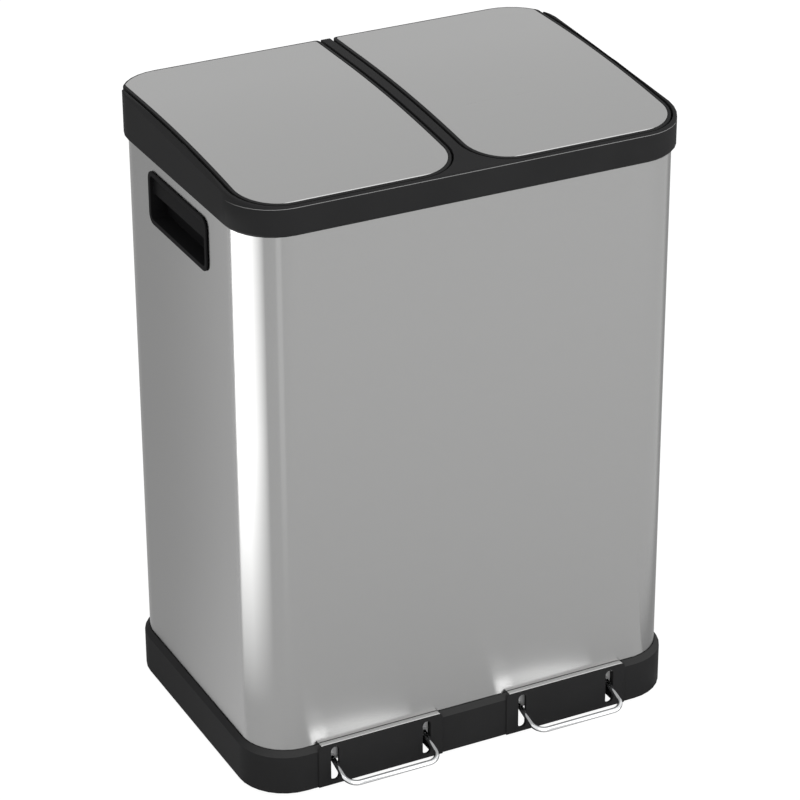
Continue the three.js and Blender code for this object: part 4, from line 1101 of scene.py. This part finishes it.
@dataclass
class Linkage(Assembly):
    """The push rods with their bushes, and the dampers that slow the lids."""

    edge: float = 0.3 * MM

    def build(self) -> None:
        """Makes both linkages."""
        for side, _ in BOTH_SIDES:
            self.remould(f"push_rod_{side}", f"push_rod_{side}", ZINC, self.edge)
            self.remould(f"damper_link_{side}", f"push_rod_{side}", NYLON, self.edge)
            self.remould(f"damper_piston_{side}", f"push_rod_{side}", CHROME, self.edge)
            self.remould(f"push_rod_bush_{side}", "bin_body", NYLON, self.edge)
            self.remould(f"damper_body_{side}", "bin_body", BLACK_PLASTIC, self.edge)


@dataclass
class Buckets(Assembly):
    """The two lift-out buckets."""

    edge: float = 0.5 * MM

    def build(self) -> None:
        """Makes both buckets."""
        for side, _ in BOTH_SIDES:
            self.remould(f"inner_bucket_{side}", "bin_body", BUCKET_PLASTIC, self.edge)


# ---------------------------------------------------------------- the studio


class Light(Enum):
    """What a lamp may light: only surfaces' own colour, or only their gloss."""

    COLOUR_ONLY = (True, False)
    GLOSS_ONLY = (False, True)


class LampShape(Enum):
    """A lamp's outline."""

    SQUARE_CORNERED = "RECTANGLE"
    OVAL = "ELLIPSE"


@dataclass(frozen=True)
class Lamp:
    """A flat lamp that faces a spot on the bin and isn't seen itself."""

    name: str
    place: tuple[float, float, float]
    target: tuple[float, float, float]
    width: float
    height: float
    watts: float
    light: Light
    shape: LampShape = LampShape.SQUARE_CORNERED
    roll: float = 0.0
    fades: tuple[tuple[Axis, float, float], ...] = ()

    def build(self) -> None:
        """Adds the lamp to the scene."""
        data = bpy.data.lights.new(self.name, "AREA")
        data.shape = self.shape.value
        data.size = self.width
        data.size_y = self.height
        data.energy = self.watts
        outward = Vector(self.place) - Vector(self.target)
        lamp = bpy.data.objects.new(self.name, data)
        turn = outward.to_track_quat("Z", "Y").to_matrix().to_4x4()
        unrolled = Matrix.Translation(self.place) @ turn
        lamp.matrix_world = unrolled @ Matrix.Rotation(math.radians(self.roll), 4, "Z")
        lamp.visible_camera = False
        lamp.visible_diffuse, lamp.visible_glossy = self.light.value
        bpy.context.scene.collection.objects.link(lamp)
        if self.fades:
            self.shade(data)

    def shade(self, data: bpy.types.AreaLight) -> None:
        """Fades the lamp's face along axes, each from a place where it is dark to one where it is full."""
        sheet = ShaderSheet(data)
        place = sheet.add("ShaderNodeNewGeometry").outputs["Position"]
        split = sheet.add("ShaderNodeSeparateXYZ", {}, {"Vector": place})
        share: Value = 1.0
        for axis, dark, full in self.fades:
            share = sheet.ramp(split.outputs[axis.value], (dark, full)) * share
        glow = sheet.add("ShaderNodeEmission", {}, {"Strength": share})
        sheet.add("ShaderNodeOutputLight", {}, {"Surface": glow.outputs[0]})


def hide_from_all_but_reflections(piece: bpy.types.Object) -> None:
    """Makes a piece of the studio one that only reflections show."""
    for seen_by in ("visible_camera", "visible_diffuse", "visible_shadow", "visible_transmission"):
        setattr(piece, seen_by, False)


@dataclass(frozen=True)
class ReflectionCard:
    """A grey card that only reflections show. It lies on the floor beside the bin and then stands up.

    The card runs across the azimuth that it is seen at, and fades from the grey at its rear edge to near white
    at its front edge.
    """

    name: str
    side: int
    azimuth: float = 153.0
    near: float = -0.285
    fade_to: float = -0.165
    far: float = 0.12
    start: float = 0.02
    reach: float = 0.5
    top: float = 0.6
    bright: float = 0.92
    grey: float = 0.52
    lift: float = 0.003

    def build(self) -> None:
        """Makes the card's sheet: three rows of points along its front and rear edges."""
        turn = math.radians(self.azimuth)
        outward = np.array([self.side * math.sin(turn), -math.cos(turn), 0.0])
        across = np.array([self.side * math.cos(turn), math.sin(turn), 0.0])
        edges = np.array([self.near, self.far])[None, :, None] * across
        rows = np.array([[self.start, self.lift], [self.reach, self.lift], [self.reach, self.top]])
        grid = rows[:, None, :1] * outward + edges + rows[:, None, 1:] * np.array([0.0, 0.0, 1.0])
        sheet_piece = surface(self.name, grid)
        sheet_piece.data.materials.append(self.paint(across))
        hide_from_all_but_reflections(sheet_piece)

    def paint(self, across: np.ndarray) -> bpy.types.Material:
        """Makes the card's glow, which rises from grey to bright along the direction across it.

        Args:
            across: The direction across the card.

        Returns:
            The material.
        """
        material = bpy.data.materials.new(self.name)
        sheet = ShaderSheet(material)
        place = sheet.add("ShaderNodeTexCoord").outputs["Object"]
        along = sheet.add("ShaderNodeVectorMath", {"operation": "DOT_PRODUCT"}, {0: place, 1: tuple(across)})
        light = sheet.ramp(along.outputs["Value"], (self.near, self.fade_to), (self.bright, self.grey))
        glow = sheet.add("ShaderNodeEmission", {}, {"Color": light})
        sheet.add("ShaderNodeOutputMaterial", {}, {"Surface": glow.outputs[0]})
        return material


def panel_lamps() -> Iterable[Lamp]:
    """Yields the small oval lamps at each pedal panel: a spot at its left end, and a long one beside it."""
    lamp_y, panel_y, level = -0.188, -0.1433, 29 * MM
    for side, sign in BOTH_SIDES:
        for name, shift, width, height, watts, roll in (
            ("spot", -45 * MM, 22 * MM, 17 * MM, 0.0022, 0.0),
            ("line", 3 * MM, 118 * MM, 19 * MM, 0.0064, -7.0),
        ):
            x = sign * PANEL_MIDDLE + shift
            place, target = (x, lamp_y, level), (x, panel_y, level)
            yield Lamp(
                f"panel_{name}_{side}", place, target, width, height, watts,
                Light.GLOSS_ONLY, LampShape.OVAL, roll,
            )


def level_sheet(name: str, low: tuple[float, float], high: tuple[float, float], z: float) -> bpy.types.Object:
    """Lays a flat rectangle that faces up, from its lowest to its highest x and y, at a height."""
    (left, front), (right, rear) = low, high
    corners = np.array([[left, front, z], [right, front, z], [right, rear, z], [left, rear, z]])
    return mesh_piece(name, corners, [[0, 1, 2, 3]])


@dataclass
class Studio:
    """A white floor and surroundings, a dark sheet under the bin as a painted shadow, the lamps, two grey
    cards and the camera.

    One wide lamp lights colours. The others light gloss only and stand close to the bin, for its highlights.
    """

    ambient: float = 0.75
    floor_half: float = 6.0
    floor_glow: float = 1.12
    floor_tone: float = 0.85
    # The dark sheet under the bin is a painted shadow: its corners, its height over the floor and its tone.
    underside_low: tuple[float, float] = (-0.23, -0.186)
    underside_high: tuple[float, float] = (0.23, 0.17)
    underside_rise: float = 0.4 * MM
    painted_shadow_tone: float = 0.02
    seen_share: float = 0.86
    mirrored_share: float = 0.2
    camera_place: tuple[float, float, float] = (-1.3512, -2.6727, 1.8671)
    azimuth: float = -26.671
    elevation: float = 27.1485
    roll: float = -0.2454
    lens: float = 149.41
    sensor: float = 36.0
    fittings: tuple[Lamp | ReflectionCard, ...] = (
        Lamp(
            "corner_lamp", (-0.2456, -0.1164, 0.32), (-0.1956, -0.1044, 0.32), 0.073, 0.6, 0.4,
            Light.GLOSS_ONLY, fades=((Axis.DEPTH, -0.1535, -0.1155), (Axis.UP, 0.09, 0.385)),
        ),
        Lamp("front_strip", (-0.36, -0.69, 0.5), (-0.2, -0.14, 0.5), 0.12, 1.0, 0.07, Light.GLOSS_ONLY),
        Lamp("key", (1.3, -2.4, 2.6), (0, 0, 0.33), 2.4, 1.8, 40, Light.COLOUR_ONLY),
        *panel_lamps(),
        ReflectionCard("left_card", -1),
        ReflectionCard("right_card", 1, azimuth=125.0, near=-0.42, fade_to=-0.3, start=0.13, grey=0.44),
    )

    def build(self) -> None:
        """Sets up everything round the bin."""
        self.surround()
        self.floor()
        self.painted_floor_shadow()
        for fitting in self.fittings:
            fitting.build()
        self.camera()
        bpy.context.scene.view_settings.view_transform = "Standard"

    def surround(self) -> None:
        """Makes the world white where it is seen, and a plain light elsewhere."""
        world = bpy.data.worlds.new("studio_surround")
        bpy.context.scene.world = world
        sheet = ShaderSheet(world)
        seen = sheet.seen(1.0, 1.0)
        lit = sheet.add("ShaderNodeBackground", {}, {"Color": (1, 1, 1, 1), "Strength": self.ambient})
        shown = sheet.add("ShaderNodeBackground", {}, {"Color": (1, 1, 1, 1), "Strength": 1.0})
        mixed = sheet.add("ShaderNodeMixShader", {}, {0: seen, 1: lit.outputs[0], 2: shown.outputs[0]})
        sheet.add("ShaderNodeOutputWorld", {}, {"Surface": mixed.outputs[0]})

    def floor(self) -> None:
        """Lays the floor: white where it is seen, and with the bin's own shadow on it."""
        reach = self.floor_half
        plane = level_sheet("studio_floor", (-reach, -reach), (reach, reach), 0.0)
        material = bpy.data.materials.new("studio_floor")
        sheet = ShaderSheet(material)
        matt = sheet.add("ShaderNodeBsdfDiffuse", {}, {"Color": (*[self.floor_tone] * 3, 1)})
        glow = sheet.add("ShaderNodeEmission", {}, {"Color": (1, 1, 1, 1), "Strength": self.floor_glow})
        share = sheet.seen(self.seen_share, self.mirrored_share)
        mixed = sheet.add("ShaderNodeMixShader", {}, {0: share, 1: matt.outputs[0], 2: glow.outputs[0]})
        sheet.add("ShaderNodeOutputMaterial", {}, {"Surface": mixed.outputs[0]})
        plane.data.materials.append(material)

    def painted_floor_shadow(self) -> None:
        """Lays a dark sheet under the bin that only reflections show: a painted shadow, like the floor in the
        bin's shadow.
        """
        low, high = self.underside_low, self.underside_high
        sheet_piece = level_sheet("painted_shadow_sheet", low, high, self.underside_rise)
        material = bpy.data.materials.new("painted_shadow_sheet")
        sheet = ShaderSheet(material)
        matt = sheet.add("ShaderNodeBsdfDiffuse", {}, {"Color": (*[self.painted_shadow_tone] * 3, 1)})
        sheet.add("ShaderNodeOutputMaterial", {}, {"Surface": matt.outputs[0]})
        sheet_piece.data.materials.append(material)
        hide_from_all_but_reflections(sheet_piece)

    def camera(self) -> None:
        """Places the camera: its right, up and backward directions, turned by the roll."""
        azimuth, elevation, roll = (math.radians(a) for a in (self.azimuth, self.elevation, self.roll))
        level_run = math.cos(elevation)
        back = Vector((math.sin(azimuth) * level_run, -math.cos(azimuth) * level_run, math.sin(elevation)))
        level = Vector((0, 0, 1)).cross(back).normalized()
        upward = back.cross(level)
        right = level * math.cos(roll) + upward * math.sin(roll)
        up = upward * math.cos(roll) - level * math.sin(roll)
        turn = Matrix((right, up, back)).transposed().to_4x4()
        data = bpy.data.cameras.new("photo_camera")
        data.lens = self.lens
        data.sensor_width = self.sensor
        data.sensor_fit = "HORIZONTAL"
        camera = bpy.data.objects.new("photo_camera", data)
        camera.matrix_world = Matrix.Translation(self.camera_place) @ turn
        bpy.context.scene.collection.objects.link(camera)
        bpy.context.scene.camera = camera


def main() -> None:
    """Builds the studio and then the bin, one sub-assembly after another."""
    logging.basicConfig(level=logging.INFO, format="%(name)s: %(message)s")
    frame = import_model()
    Studio().build()
    collar = Box.of("top_collar")
    arch = Arch(crest=collar.high.z, level_from=collar.high.y - ARCH_LEVEL_DEPTH)
    assemblies: list[Assembly] = [
        BodySheet(frame), Base(frame), Collar(frame, arch), Lids(frame, arch), Handles(frame), Pedals(frame),
        Linkage(frame), Buckets(frame),
    ]
    for assembly in assemblies:
        log.info("building %s", type(assembly).__name__)
        assembly.build()


if __name__ == "__main__":
    main()
